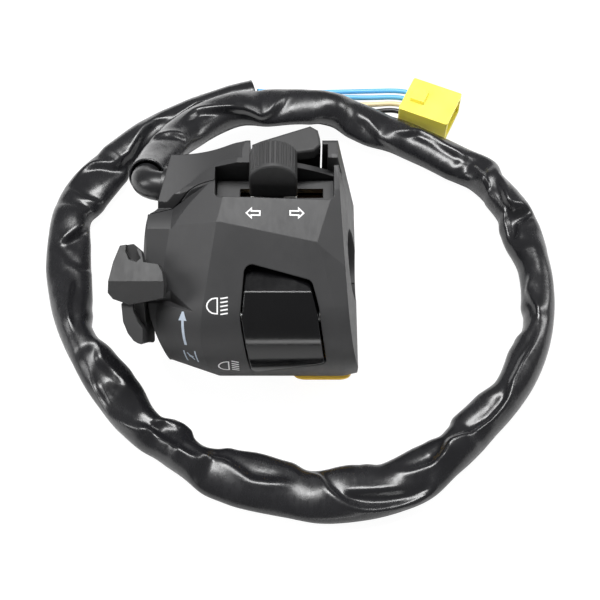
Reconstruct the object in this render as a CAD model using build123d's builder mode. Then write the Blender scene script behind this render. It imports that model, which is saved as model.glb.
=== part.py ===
"""Left-hand handlebar switch cluster: two housing halves, five controls, choke lever and harness."""
from build123d import *
import math
import os

os.makedirs("parts", exist_ok=True)

# Frame: X runs along the handlebar away from the grip, -Y faces the rider and +Z is up.
# The origin is the centre of the handlebar bore. Sizes are in millimetres and degrees.

# Handlebar, clamp and fits
bar_radius = 11.1
saddle_wall = 2.0
wall = 2.2
clamp_gap = 0.3
running_gap = 0.3
seat_gap = 0.05
pin_gap = 0.05
overrun = 6.0

# Outer shape of the housing, seen along the handlebar
face_lean = 60.0
belly_y = -11.8
belly_z = -5.0
belly_radius = 21.5
crown_y = -1.2
crown_lean = 15.0
crown_skew_x = -7.9
crown_skew = 3.1
top_z = 29.3
back_y = 26.6
heel_radius = 8.0
brow_radius = 1.6

# Outer shape of the housing, seen along X
left_end_x = -29.8
right_end_x = 31.9
right_skirt_x = 33.0
end_lean = 10.0
collar_inset = 5.0
collar_edge_x = -1.9
collar_edge_per_y = 0.33
collar_edge_per_z = -0.25
collar_slope_run = 15.8
cheek_inset = 2.4
cheek_edge_x = 19.8
cheek_edge_per_y = -0.27
cheek_edge_per_z = -0.031
cheek_slope_run = 11.5
front_end_lean = 9.5
front_end_x = -24.0
front_flare_points = [(-27.05, 8.2), (-28.1, 6.6), (-29.8, 5.4)]
end_round_radius = 41.0
end_round_lean = 20.0
end_round_angle = 50.0
end_round_start = -9.1
brow_edge_x = 22.5
brow_edge_per_y = 0.31
brow_cheek_lean = 15.0
shoulder_radius = 30.6
shoulder_x = -22.5
shoulder_low_z = 21.2

# Parting between the halves, and the step behind the front half's upper edge
parting_low_z = 13.6
groove_points = [(-29.8, 5.4), (-24.4, 7.2), (-19.6, 9.4), (-15.8, 11.4), (-12.2, 12.3), (-9.8, 12.4)]
crest_points = [
    (-29.8, 7.2), (-25.4, 8.6), (-20.8, 10.8), (-16.4, 14.0), (-12.4, 17.4), (-8.4, 19.2), (-1.8, 19.5)
]

# Recess of the turn signal knob
recess_left_x = -9.6
recess_right_x = 25.6
recess_front_y = 6.4
recess_back_y = 17.5
recess_floor_z = 20.5
recess_floor = 2.0
recess_corner = 2.0
slot_left_x = -2.5
slot_right_x = 22.4
slot_front_y = 11.0
slot_back_y = 14.3
strip_depth = 2.0
strip_middle_x = 14.6
strip_middle_z = 26.7
strip_low_x = 26.7
strip_low_z = 21.6

# Turn signal knob and the switch under it
knob_x = 7.6
knob_width = 14.2
knob_front_y = 11.0
knob_back_y = 20.5
knob_shoulder_z = 29.0
knob_top_z = 36.2
knob_base_z = 21.2
knob_rib_count = 11
knob_rib_radius = 0.35
knob_rib_low = 30.0
knob_rib_start = 1.4
knob_edge = 0.7
knob_heel_z = 29.9
stem_width = 6.0
carriage_width = 14.0
carriage_front_y = 8.0
carriage_back_y = 16.9
carriage_height = 3.4
board_thickness = 1.4
board_screw_radius = 1.0
board_screw_head_radius = 1.8
board_screw_head = 1.1
board_screw_length = 4.0
contact_thickness = 0.4
turn_board_z = 12.2
turn_contact_front_y = 10.3
turn_contact_back_y = 14.7
turn_strip_width = 6.4
rivet_xs = (-0.8, 7.6, 16.0)
rivet_radius = 0.7
bridge_inset = 2.4
detent_radius = 1.2
detent_y = 9.6
detent_bore = 3.0
detent_wire = 0.15
detent_turns = 4
turn_board_left_x = -10.6
turn_board_right_x = 26.8
turn_board_front_y = 8.2
turn_board_back_y = 16.8

# Passing light trigger and its window
pass_window_left_x = 0.6
pass_window_right_x = 23.8
pass_slot_right_x = 22.2
pass_window_low_z = 6.0
pass_pocket_wall = 1.8
pass_pin_x = 3.6
pass_pin_y = 23.2
pass_pin_radius = 1.5
pass_top_z = 29.7
pass_cap = 4.0
pass_edge = 0.8
pass_left_x = 1.2
pass_low_z = 6.3
pass_pin_top_z = 24.0
pass_paddle_x = 6.2
pass_paddle_y = 24.0
pass_cap_points = [
    (1.2, 22.0), (2.2, 20.9), (13.9, 20.9), (19.7, 21.9), (21.7, 24.0), (21.55, 26.6), (20.9, 29.6), (
        18.6, 31.2
    ),
    (4.0, 25.6), (1.2, 24.2),
]
pass_paddle_points = [
    (1.2, 22.0), (2.2, 21.0), (6.2, 21.0), (6.2, 24.0), (21.7, 24.0), (21.55, 26.6), (20.9, 29.6), (
        18.6, 31.2
    ),
    (4.0, 25.6), (1.2, 24.2),
]
pass_spring_room = 3.4
pass_spring_radius = 2.1
pass_wire = 0.2
pass_contact_x = 15.0
pass_contact_z = 9.6
pass_contact_radius = 1.5
pass_base_width = 5.0
pass_base_depth = 1.5

# Dimmer rocker
dimmer_lean = 27.0
dimmer_pin_y = -21.0
dimmer_pin_z = 4.9
dimmer_pin_radius = 1.5
dimmer_side_gap = 0.5
dimmer_end_gap = 1.5
dimmer_proud = 1.2
dimmer_skin = 3.2
dimmer_ridge = 4.2
dimmer_sunk = 3.4
dimmer_sunk_v = -0.85
dimmer_window_low_x = -2.0
dimmer_window_width = 25.6
dimmer_window_low_q = -21.9
dimmer_window_height = 34.6
dimmer_window_corner = 2.4
dimmer_window_shares = [(0.11, 0.0), (1.0, 0.14), (0.9, 0.68), (0.82, 0.87), (0.055, 1.0), (0.0, 0.6)]
dimmer_lug = 2.6
dimmer_lug_gap = 0.8
dimmer_barrel_radius = 3.1
dimmer_web_left_x = 3.0
dimmer_web_right_x = 19.0
dimmer_web = 5.0
dimmer_board_distance = 13.4
dimmer_board_low_q = -12.0
dimmer_board_high_q = 1.6
dimmer_foot = 3.4
dimmer_tail_distance = 16.3
dimmer_tail_width = 3.0
dimmer_web_low_q = -8.4
dimmer_web_high_q = 1.4
dimmer_web_distance = 17.0
dimmer_barrel_left_x = -0.6
dimmer_barrel_right_x = 21.0
dimmer_bridge = 0.6
dimmer_plunger_q = -1.0
dimmer_plunger_x = 11.0
dimmer_plunger_radius = 1.0
dimmer_plunger_length = 4.4
dimmer_screw_q = -10.4
dimmer_screw_inset = 2.0
dimmer_low_angle = 18.0
dimmer_web_reach = 27.4

# Horn button
horn_x = 22.4
horn_width = 18.0
horn_height = 12.0
horn_corner = 4.0
horn_lean = -45.0
horn_proud = 0.8
horn_depth = 8.5
horn_lip = 1.2
horn_lip_drop = 11.0
horn_plate_depth = 11.0
horn_plate_left_x = 7.8
horn_plate_right_x = 30.4
horn_boss_x = 10.4
horn_boss_side = 3.6
horn_boss_radius = 2.2
horn_contact_side = 4.2
horn_base = 1.5
horn_base_half = 6.0
horn_disc_radius = 5.6
horn_flange_low = 15.6
horn_flange_high = 17.4
horn_spring_radius = 2.4
horn_disc_bore_radius = 1.95
horn_edge = 1.2
horn_contact_length = 6.0
horn_contact_width = 1.6

# Choke lever, its angles measured about the bar from the face direction, backwards positive
hub_inner_radius = 11.4
hub_outer_radius = 15.6
hub_pocket_x = -24.3
tab_ridge_v = -5.5
tab_ridge_height = 29.5
tab_low_height = 21.2
tab_back_lean = 25.0
tab_front_lean = 35.0
tab_scoop_height = 22.4
tab_points = [
    (-36.6, 4.9), (-33.0, 5.5), (-30.3, 3.3), (-29.5, 0.1), (-25.3, -0.5), (-23.9, -2.8), (-23.3, -6.4), (
        -23.8, -10.2
    ),
    (-27.4, -11.0), (-33.9, -12.2), (-38.4, -10.6), (-39.7, -8.8), (-39.2, -5.4), (-38.2, 0.1),
]
tab_scoop_points = [
    (-34.6, 9.0), (-34.9, 3.2), (-33.8, 0.9), (-31.6, 0.1), (-30.4, 1.2), (-31.6, 3.6), (-32.6, 9.0)
]
sweep_radius = 20.8
sweep_x = -22.6
sweep_low_angle = -33.0
sweep_high_angle = 53.0
sweep_slope = 38.0
arm_thickness = 3.0
arm_points = [(-34.8, -10.5), (-34.3, -15.6), (-32.9, -19.0), (-31.2, -21.2), (-30.0, -21.9), (-29.0, -22.2)]
web_radius = 24.0
arm_low_c = -3.0
arm_high_c = 24.0
web_left_x = -33.2
hub_left_x = -31.0
web_low_angle = 15.0
web_high_angle = 102.0
washer_thickness = 0.4
cable_port_radius = 2.2
cable_port_y = -13.5
cable_port_x = -25.8
cable_port_top_z = -16.0
cable_wire_radius = 1.2

# Housing screws
screw_radius = 2.0
screw_core_share = 0.8
screw_socket_share = 0.5
screw_head_radius = 3.6
screw_head = 2.6
screw_length = 20.0
screw_boss_radius = 3.4
screw_seat = 11.0
screw_front_wall = 1.3
screw_boss_length = 10.0
screw_rib = 2.4
screw_places = [(-17.0, -17.0, 0.0), (22.0, -19.0, 0.0), (-15.6, 17.0, 10.6)]

# Harness
sleeve_radius = 6.0
exit_y = 19.8
exit_z = 13.6
grommet_flange_radius = 6.3
grommet_flange = 1.4
grommet_neck_radius = 5.2
lead_radius = 0.6
cord_share = 0.45
grommet_bore_radius = 3.8
grommet_bore_depth = 4.0
elbow_radius = 4.6
elbow_bend = 5.2
elbow_reach = 8.0
elbow_leg = 6.6
elbow_turn = (0.08, 0.8, -0.58)
sleeve_points = [
    (-31.576, 35.646, 3.069), (-29.2, 46.0, -2.6), (-24.6, 56.6, -7.2), (-17.0, 63.9, -9.6), (
        -7.0, 69.3, -10.6
    ),
    (4.2, 72.4, -11.4), (15.6, 74.6, -12.4), (27.4, 74.6, -15.2), (40.2, 70.6, -18.6), (53.6, 63.6, -20.4),
    (67.4, 56.6, -20.4), (77.6, 49.0, -20.4), (85.4, 36.4, -20.4), (90.2, 24.4, -20.4), (93.4, 9.4, -20.4),
    (91.8, -6.4, -20.4), (87.6, -22.4, -20.4), (78.8, -37.2, -20.4), (67.4, -49.0, -20.4), (
        53.4, -59.6, -20.4
    ),
    (37.6, -66.6, -20.4), (20.2, -67.8, -20.4), (3.2, -64.0, -20.4), (-13.0, -58.8, -20.4), (
        -27.2, -49.4, -20.4
    ),
    (-39.4, -36.4, -20.4), (-50.8, -22.8, -20.4), (-58.6, -8.4, -20.4), (-61.2, 8.4, -20.4), (
        -62.6, 24.6, -20.4
    ),
    (-60.2, 38.6, -20.4), (-52.4, 51.2, -20.4), (-43.4, 62.4, -20.4), (-29.6, 72.6, -20.4), (
        -15.2, 80.6, -20.4
    ),
    (-0.8, 84.4, -20.4),
]
lead_routes = [
    [(-3.6, 15.6, 12.2), (-3.6, 15.6, 9.4), (-6.0, 16.0, 6.6), (-12.0, 16.6, 5.6), (-18.6, 17.4, 8.6),
     (-20.8, 17.8, 11.8), (-24.0, 18.0, 13.2)],
    [(15.0, 17.7, 9.6), (15.0, 16.2, 9.5), (14.8, 15.4, 8.2), (12.6, 15.8, 4.4), (4.0, 18.4, 2.4), (
        -8.0, 21.0, 3.4
    ),
     (-18.6, 21.0, 7.6), (-20.8, 20.4, 11.2), (-24.0, 20.2, 12.3)],
    [(11.0, -18.2, -4.7), (10.6, -17.8, -7.6), (9.4, -14.6, -11.8), (7.0, -8.2, -16.6), (3.0, 2.0, -18.8),
     (-2.0, 12.0, -15.0), (-8.0, 18.4, -7.0), (-14.6, 18.8, 1.6), (-19.0, 19.2, 8.0), (-20.8, 19.1, 10.8),
     (-24.0, 19.0, 12.0)],
    [(14.0, -18.16, -11.36), (14.0, -16.7, -9.9), (13.2, -14.8, -11.2), (11.2, -8.4, -16.4), (
        6.6, 2.2, -18.8
    ),
     (1.6, 12.6, -15.4), (-5.0, 20.4, -7.8), (-12.6, 22.8, 0.2), (-18.6, 22.8, 7.8), (-20.8, 21.6, 12.0),
     (-24.0, 21.0, 13.5)],
]
wire_radius = 0.9
wire_lead = 3.0
wire_routes = {
    "wires_blue": [
        (3, [(-0.2, 86.6, -21.4), (12.0, 89.2, -24.6), (25.2, 90.4, -25.4), (40.0, 90.0, -24.4)]),
        (2, [(0.2, 85.2, -18.6), (12.6, 87.2, -23.0), (25.4, 87.8, -24.8), (40.0, 86.6, -24.2)]),
    ],
    "wire_cream": [(1, [(0.6, 83.4, -22.0), (12.8, 84.8, -24.9), (25.6, 85.0, -25.5), (40.4, 83.4, -24.3)])],
    "wire_black": [(0, [(1.0, 82.6, -18.8), (13.2, 82.6, -23.2), (26.0, 82.2, -25.4), (40.4, 80.0, -24.4)])],
}
plug_middle = (62.0, 79.0, -21.4)
plug_way = (0.91, -0.41, 0.0)
plug_length = 18.4
plug_width = 15.4
plug_height = 9.6
plug_wall = 1.4
plug_mouth = 6.0
plug_ways = 4
plug_pitch = 3.2
plug_wire_up = -0.6
latch_length = 5.0
latch_width = 5.6
latch_height = 1.6
terminal_width = 2.2
terminal_blade_share = 1 / 3
terminal_length = 7.0

span = 70.0
low_z = belly_z - belly_radius


def lean_to(angle):
    """Direction in the YZ plane that faces the rider and leans up by an angle."""
    return Vector(0, -math.cos(math.radians(angle)), math.sin(math.radians(angle)))


face_out = lean_to(face_lean)
face_up = Vector(0, face_out.Z, -face_out.Y)
face_distance = belly_y * face_out.Y + belly_z * face_out.Z + belly_radius
crown_z = (face_distance - crown_y * face_out.Y) / face_out.Z


def meet(first, first_distance, second, second_distance):
    """Point of the YZ plane that lies at the given distances along two directions."""
    turn = first.Y * second.Z - first.Z * second.Y
    y = (first_distance * second.Z - second_distance * first.Z) / turn
    z = (second_distance * first.Y - first_distance * second.Y) / turn
    return (y, z)


def on_arc(centre, radius, angle):
    """Point of a circle in the YZ plane, the angle taken from +Y towards +Z."""
    return (
        centre[0] + radius * math.cos(math.radians(angle)),
        centre[1] + radius * math.sin(math.radians(angle)),
    )


def housing_outline(inset, rider_inset=0.0, top_inset=0.0):
    """Outline of the housing across the bar, drawn in by an inset all round or on some sides."""
    belly = (belly_y, belly_z)
    radius = belly_radius - inset - rider_inset
    crown_out = lean_to(90 - crown_lean)
    face_line = face_distance - inset - rider_inset
    crown_line = crown_y * crown_out.Y + crown_z * crown_out.Z - inset - rider_inset
    top = top_z - inset - top_inset
    back = back_y - inset
    low = low_z + inset + rider_inset
    brow = (back - brow_radius + inset, top - brow_radius + inset)
    heel = (back_y - heel_radius, low + heel_radius - inset)
    with BuildSketch(Plane.YZ) as outline:
        with BuildLine():
            start = on_arc(belly, radius, 180 - face_lean)
            crown = meet(face_out, face_line, crown_out, crown_line)
            shoulder = meet(crown_out, crown_line, Vector(0, 0, 1), top)
            Polyline(start, crown, shoulder, (brow[0], top))
            ThreePointArc(*[on_arc(brow, brow_radius - inset, angle) for angle in (90, 45, 0)])
            Line((back, brow[1]), (back, heel[1]))
            ThreePointArc(*[on_arc(heel, heel_radius - inset, angle) for angle in (0, -45, -90)])
            Line((heel[0], low), (belly_y, low))
            belly_mid = -90 - (90 + face_lean) / 2
            ThreePointArc(*[on_arc(belly, radius, angle) for angle in (-90, belly_mid, -180 - face_lean)])
        make_face()
    return outline.sketch


def skew_plane(x, per_y, per_z, shift=0.0):
    """Plane that crosses the bar at x and runs off it with y and z."""
    return Plane(origin=(x + shift, 0, 0), z_dir=(1, -per_y, -per_z))


def slope(outer, inner, plane, run):
    """Ruled band between the outer outline on a plane and the inner one a run further along X."""
    further = Plane(origin=plane.origin + Vector(run, 0, 0), z_dir=plane.z_dir)
    with BuildPart() as band:
        loft([section(outer, section_by=plane), section(inner, section_by=further)], ruled=True)
    return band.part


def long_bar(outline):
    """Bar of an outline along the whole span."""
    with BuildPart() as bar:
        extrude(outline, amount=span, both=True)
    return bar.part


def shoulder_cut(inset):
    """What is missing behind the crest of the front half, down to its hollow shoulder."""
    height = top_z + overrun
    crest = [(x, y - inset) for x, y in crest_points]
    with BuildPart() as cut:
        with BuildSketch(Plane.XY):
            with BuildLine():
                Spline(*crest)
                Polyline(
                    crest[-1],
                    (crest[-1][0], back_y + overrun),
                    (left_end_x - overrun, back_y + overrun),
                    (left_end_x - overrun, crest[0][1]),
                    crest[0],
                )
            make_face()
        extrude(amount=height)
        with BuildSketch(Plane.XZ):
            with BuildLine():
                radius = shoulder_radius + inset
                centre_z = shoulder_low_z + shoulder_radius
                half = math.degrees(math.asin((shoulder_x - left_end_x + overrun) / radius))
                edge_z = centre_z - math.sqrt(radius**2 - (crest[-1][0] - shoulder_x) ** 2)
                left = (
                    shoulder_x - radius * math.sin(math.radians(half)),
                    centre_z - radius * math.cos(math.radians(half)),
                )
                ThreePointArc(left, (shoulder_x, centre_z - radius), (crest[-1][0], edge_z))
                Polyline((crest[-1][0], edge_z), (crest[-1][0], height), (left[0], height), left)
            make_face()
        extrude(amount=span, both=True, mode=Mode.INTERSECT)
    return cut.part


def sweep_cut(inset):
    """Room round the bar for the choke tab, with a cone that runs out of it to the right."""
    start = lean_to(face_lean + sweep_low_angle)
    radius = sweep_radius - inset
    reach = belly_radius + crown_z
    rise = reach - radius
    with BuildPart() as cut:
        with BuildSketch(Plane(origin=(0, 0, 0), x_dir=(1, 0, 0), z_dir=(0, -start.Z, start.Y))):
            with BuildLine():
                Polyline(
                    (left_end_x - overrun, radius),
                    (sweep_x + inset, radius),
                    (sweep_x + inset + rise * math.tan(math.radians(90 - sweep_slope)), reach),
                    (left_end_x - overrun, reach),
                    close=True,
                )
            make_face()
        revolve(axis=Axis.X, revolution_arc=sweep_low_angle - sweep_high_angle)
    return cut.part


def end_round(inset):
    """What the left end's rounding takes away below the choke tab."""
    out = lean_to(90 - end_round_lean)
    edge_x = left_end_x + inset
    arc = []
    for angle in (0, end_round_angle / 2, end_round_angle):
        turn = math.radians(angle)
        rise = end_round_radius * (1 - math.cos(turn))
        arc.append((edge_x + rise, end_round_start - end_round_radius * math.sin(turn)))
    with BuildPart() as cut:
        with BuildSketch(Plane(origin=out * -span, x_dir=(1, 0, 0), z_dir=out)):
            with BuildLine():
                ThreePointArc(*arc)
                Polyline(arc[2], (edge_x - overrun, arc[2][1]), (edge_x - overrun, arc[0][1]), arc[0])
            make_face()
        extrude(amount=2 * span)
    return cut.part


def front_end_cut(inset):
    """What is missing left of the front half, whose end flares out to the groove."""
    edge = [(x + inset, y) for x, y in front_flare_points]
    far_y = back_y + overrun
    slant = math.tan(math.radians(front_end_lean))
    with BuildPart() as cut:
        with BuildSketch(Plane.XY.offset(-span)):
            with BuildLine():
                Polyline(
                    edge[0],
                    (edge[0][0] + (far_y - edge[0][1]) * slant, far_y),
                    (left_end_x - overrun, far_y),
                    (left_end_x - overrun, edge[2][1]),
                    edge[2],
                )
                ThreePointArc(*edge)
            make_face()
        extrude(amount=2 * span)
    return cut.part


def brow_cheek(crown_out, inset):
    """Plane that falls to the right beside the arrows, from an edge on the crown's plane."""
    edge_z = crown_z - ((brow_edge_x - crown_skew_x) * crown_out.X - crown_y * crown_out.Y) / crown_out.Z
    edge_way = Vector(brow_edge_per_y, 1, -(brow_edge_per_y * crown_out.X + crown_out.Y) / crown_out.Z)
    side = edge_way.normalized().cross(crown_out)
    lean = math.radians(brow_cheek_lean)
    out = crown_out * math.cos(lean) + side * math.sin(lean)
    return Plane(origin=Vector(brow_edge_x, 0, edge_z) - out * inset, z_dir=out)


def envelope(inset):
    """Whole housing as one solid, drawn in by an inset on every side."""
    full = long_bar(housing_outline(inset))
    collar = long_bar(housing_outline(inset, collar_inset, collar_inset))
    cheek = long_bar(housing_outline(inset, cheek_inset))
    left = skew_plane(collar_edge_x, collar_edge_per_y, collar_edge_per_z)
    left_far = skew_plane(collar_edge_x, collar_edge_per_y, collar_edge_per_z, -collar_slope_run)
    right = skew_plane(cheek_edge_x, cheek_edge_per_y, cheek_edge_per_z)
    right_far = skew_plane(cheek_edge_x, cheek_edge_per_y, cheek_edge_per_z, cheek_slope_run)
    lean = math.radians(end_lean)
    end_out = Vector(math.cos(lean), 0, math.sin(lean))
    skew = math.radians(crown_skew)
    crown_out = lean_to(90 - crown_lean) * math.cos(skew) + Vector(math.sin(skew), 0, 0)
    left_band = slope(full, collar, left, -collar_slope_run)
    right_band = slope(full, cheek, right, cheek_slope_run)
    left_part = split(collar, bisect_by=left_far, keep=Keep.BOTTOM)
    right_part = split(cheek, bisect_by=right_far, keep=Keep.TOP)
    with BuildPart() as body:
        add(full)
        split(bisect_by=left, keep=Keep.TOP)
        split(bisect_by=right, keep=Keep.BOTTOM)
        add([left_band, left_part, right_band, right_part])
        split(bisect_by=Plane(origin=(left_end_x + inset, 0, 0), z_dir=(-1, 0, 0)), keep=Keep.BOTTOM)
        split(bisect_by=Plane(origin=(right_skirt_x - inset, 0, 0), z_dir=(1, 0, 0)), keep=Keep.BOTTOM)
        split(
            bisect_by=Plane(origin=Vector(right_end_x, 0, 0) - end_out * inset, z_dir=end_out),
            keep=Keep.BOTTOM,
        )
        crown_point = Vector(crown_skew_x, crown_y, crown_z) - crown_out * inset
        split(bisect_by=Plane(origin=crown_point, z_dir=crown_out), keep=Keep.BOTTOM)
        split(bisect_by=brow_cheek(crown_out, inset), keep=Keep.BOTTOM)
        add(end_round(inset), mode=Mode.SUBTRACT)
        add(front_end_cut(inset), mode=Mode.SUBTRACT)
        add(shoulder_cut(inset), mode=Mode.SUBTRACT)
        add(sweep_cut(inset), mode=Mode.SUBTRACT)
    return body.part


def front_region(shift):
    """Space of the front half: behind the bar's middle below, and behind the groove above."""
    left = left_end_x - overrun
    right = right_skirt_x + overrun
    back = back_y + overrun
    groove = [(x, y + shift) for x, y in groove_points]
    with BuildPart() as region:
        with BuildSketch(Plane.XY.offset(low_z - overrun)):
            with BuildLine():
                Polyline((left, shift), (right, shift), (right, back), (left, back), close=True)
            make_face()
        extrude(amount=parting_low_z - low_z + overrun)
        with BuildSketch(Plane.XY.offset(parting_low_z)):
            with BuildLine():
                Spline(*groove)
                Polyline(
                    groove[-1],
                    (recess_left_x - shift, groove[-1][1]),
                    (recess_left_x - shift, recess_back_y + shift),
                    (right, recess_back_y + shift),
                    (right, back),
                    (left, back),
                    (left, groove[0][1]),
                    groove[0],
                )
            make_face()
        extrude(amount=top_z + overrun - parting_low_z)
    return region.part


def block(low, high):
    """Plain block between two corners."""
    middle = (Vector(*low) + Vector(*high)) * 0.5
    size = Vector(*high) - Vector(*low)
    with BuildPart() as box:
        with Locations(middle):
            Box(size.X, size.Y, size.Z)
    return box.part


def rod(radius, start, end):
    """Round rod between two points."""
    start = Vector(*start)
    way = Vector(*end) - start
    with BuildPart() as bar:
        with BuildSketch(Plane(origin=start, z_dir=way)):
            Circle(radius)
        extrude(amount=way.length)
    return bar.part


def inside_of(piece, whole):
    """What of a piece lies inside a larger shape."""
    with BuildPart() as common:
        add(piece)
        add(whole, mode=Mode.INTERSECT)
    return common.part


def ring(outer_radius, inner_radius, start, end):
    """Round tube between two points."""
    start = Vector(*start)
    way = Vector(*end) - start
    with BuildPart() as tube:
        with BuildSketch(Plane(origin=start, z_dir=way)):
            Circle(outer_radius)
            Circle(inner_radius, mode=Mode.SUBTRACT)
        extrude(amount=way.length)
    return tube.part


outer = envelope(0)
hollow = split(
    envelope(wall), bisect_by=Plane(origin=(hub_pocket_x + wall, 0, 0), z_dir=(1, 0, 0)), keep=Keep.TOP
)
left_open = (left_end_x - overrun, 0, 0)
right_open = (right_skirt_x + overrun, 0, 0)
half_gap = clamp_gap / 2

# Directions of the dimmer rocker: outwards through its window, and up along it
dimmer_out = lean_to(dimmer_lean)
dimmer_up = Vector(0, dimmer_out.Z, -dimmer_out.Y)
dimmer_pin = Vector(0, dimmer_pin_y, dimmer_pin_z)
dimmer_pin_q = dimmer_pin.dot(dimmer_up)
dimmer_plane = Plane(origin=(0, 0, 0), x_dir=(1, 0, 0), z_dir=dimmer_out)

# Directions of the horn button: outwards, and sideways across it
horn_out = lean_to(horn_lean)
horn_side = Vector(0, horn_out.Z, -horn_out.Y)
horn_origin = Vector(horn_x, belly_y, belly_z)
horn_face = belly_radius + horn_proud


turn_boss_y = (turn_board_front_y + turn_board_back_y) / 2
turn_boss_xs = (turn_board_left_x + 2 * board_screw_radius, turn_board_right_x - 2 * board_screw_radius)
turn_screw_top_z = turn_board_z + board_screw_length
dimmer_screw_xs = (dimmer_web_left_x + dimmer_screw_inset, dimmer_web_right_x - dimmer_screw_inset)
dimmer_board_top = dimmer_board_distance + board_thickness
dimmer_screw_end = dimmer_board_top - board_screw_length


def dimmer_point(x, q, distance):
    """Point placed by its place along the dimmer and its distance from the bar's axis."""
    return Vector(x, 0, 0) + dimmer_up * q + dimmer_out * distance


def dimmer_rod(radius, x, q, start, end):
    """Round rod that points out through the dimmer."""
    return rod(radius, dimmer_point(x, q, start), dimmer_point(x, q, end))


def dimmer_block(low_x, high_x, low_q, high_q, low, high):
    """Block that lies square to the dimmer."""
    with BuildPart() as box:
        with BuildSketch(dimmer_plane.offset(low)):
            with Locations(((low_x + high_x) / 2, (low_q + high_q) / 2)):
                Rectangle(high_x - low_x, high_q - low_q)
        extrude(amount=high - low)
    return box.part


def horn_feet():
    """Feet of the horn base's screws, on the inner side of the base."""
    near = horn_out * (belly_radius - horn_plate_depth - horn_base)
    return [Vector(horn_boss_x, belly_y, belly_z) + horn_side * side + near for side in (-horn_boss_side, horn_boss_side)]


def horn_plane(distance):
    """Plane across the horn button's path, at a distance from the belly's centre."""
    return Plane(origin=horn_origin + horn_out * distance, x_dir=(1, 0, 0), z_dir=horn_out)


def dimmer_window(margin, shift_up=0.0):
    """Outline of the dimmer's window, drawn in by a margin."""
    corners = [
        (
            dimmer_window_low_x + share_x * dimmer_window_width,
            dimmer_window_low_q + share_q * dimmer_window_height + shift_up,
        )
        for share_x, share_q in dimmer_window_shares
    ]
    with BuildSketch(dimmer_plane) as window:
        with BuildLine():
            Polyline(*corners, close=True)
        make_face()
        fillet(window.vertices(), radius=dimmer_window_corner)
        if margin:
            offset(amount=-margin)
    return window.sketch


def through_dimmer_window(margin, shift_up=0.0):
    """Everything that lies in line with the dimmer's window."""
    near = dimmer_pin.dot(dimmer_out) - dimmer_barrel_radius
    with BuildPart() as way:
        extrude(dimmer_window(margin, shift_up), amount=span)
        split(bisect_by=dimmer_plane.offset(near), keep=Keep.TOP)
    return way.part


def recess_space():
    """Space of the turn signal recess above its floor, with the slot through the floor."""
    with BuildPart() as space:
        with BuildSketch(Plane.XY.offset(recess_floor_z)):
            with BuildLine():
                Polyline(
                    (recess_left_x, recess_front_y),
                    (recess_right_x, recess_front_y),
                    (recess_right_x, recess_back_y + overrun),
                    (recess_left_x, recess_back_y + overrun),
                    close=True,
                )
            make_face()
        extrude(amount=top_z - recess_floor_z + overrun)
        fillet(space.edges().filter_by(Axis.Z).group_by(Axis.Y)[0], radius=recess_corner)
        add(
            block(
                (slot_left_x, slot_front_y, recess_floor_z - recess_floor - overrun),
                (slot_right_x, slot_back_y, recess_floor_z + overrun),
            )
        )
    return space.part


def screw_boss(x, z, parting):
    """Boss of the rear half for one housing screw, with the rib that carries it."""
    end = parting - screw_boss_length
    wall_z = low_z if z < 0 else top_z
    with BuildPart() as boss:
        add(rod(screw_boss_radius, (x, parting + screw_boss_radius, z), (x, end, z)))
        add(
            block(
                (x - screw_rib / 2, end, min(z, wall_z)),
                (x + screw_rib / 2, parting + screw_rib, max(z, wall_z)),
            ),
        )
    return boss.part


def horn_bosses():
    """Two bosses on the housing wall that carry the horn's contact base."""
    near = belly_radius - horn_plate_depth
    bosses = []
    for side in (-horn_boss_side, horn_boss_side):
        foot = Vector(horn_boss_x, belly_y, belly_z) + horn_side * side
        bosses.append(
            rod(horn_boss_radius, foot + horn_out * near, foot + horn_out * (belly_radius - wall / 2))
        )
    return bosses


def dimmer_lugs():
    """Two lugs inside the wall that hold the ends of the dimmer's pivot pin."""
    right_x = dimmer_window_low_x + dimmer_window_width
    near = dimmer_pin.dot(dimmer_out) - dimmer_barrel_radius
    lugs = []
    for x in (dimmer_window_low_x - dimmer_lug_gap - dimmer_lug, right_x + dimmer_lug_gap):
        with BuildPart() as lug:
            with BuildSketch(dimmer_plane.offset(near)):
                with Locations((x + dimmer_lug / 2, dimmer_pin_q)):
                    Rectangle(dimmer_lug, 2 * dimmer_barrel_radius)
            extrude(amount=belly_radius)
        lugs.append(lug.part)
    return lugs


def board_bosses():
    """Two bosses under the recess floor that carry the turn signal's contact board."""
    top = recess_floor_z - recess_floor / 2
    low = turn_board_z + board_thickness
    middle_y = (turn_board_front_y + turn_board_back_y) / 2
    inset = 2 * board_screw_radius
    places = (turn_board_left_x + inset, turn_board_right_x - inset)
    return [rod(2 * board_screw_radius - seat_gap, (x, middle_y, low), (x, middle_y, top)) for x in places]


def dimmer_pad():
    """Pad on the saddle that carries the dimmer's contact board."""
    with BuildPart() as pad:
        with BuildSketch(dimmer_plane.offset(bar_radius + saddle_wall / 2)):
            with Locations(((dimmer_web_left_x + dimmer_web_right_x) / 2, (dimmer_board_low_q + dimmer_board_high_q) / 2)):
                Rectangle(dimmer_web_right_x - dimmer_web_left_x, dimmer_board_high_q - dimmer_board_low_q)
        extrude(amount=dimmer_board_distance - bar_radius - saddle_wall / 2)
        with BuildSketch(dimmer_plane.offset(bar_radius / 2)):
            with Locations(((dimmer_web_left_x + dimmer_web_right_x) / 2, dimmer_board_low_q + dimmer_foot / 2)):
                Rectangle(dimmer_web_right_x - dimmer_web_left_x, dimmer_foot)
        extrude(amount=dimmer_board_distance - bar_radius / 2)
    return pad.part


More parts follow.
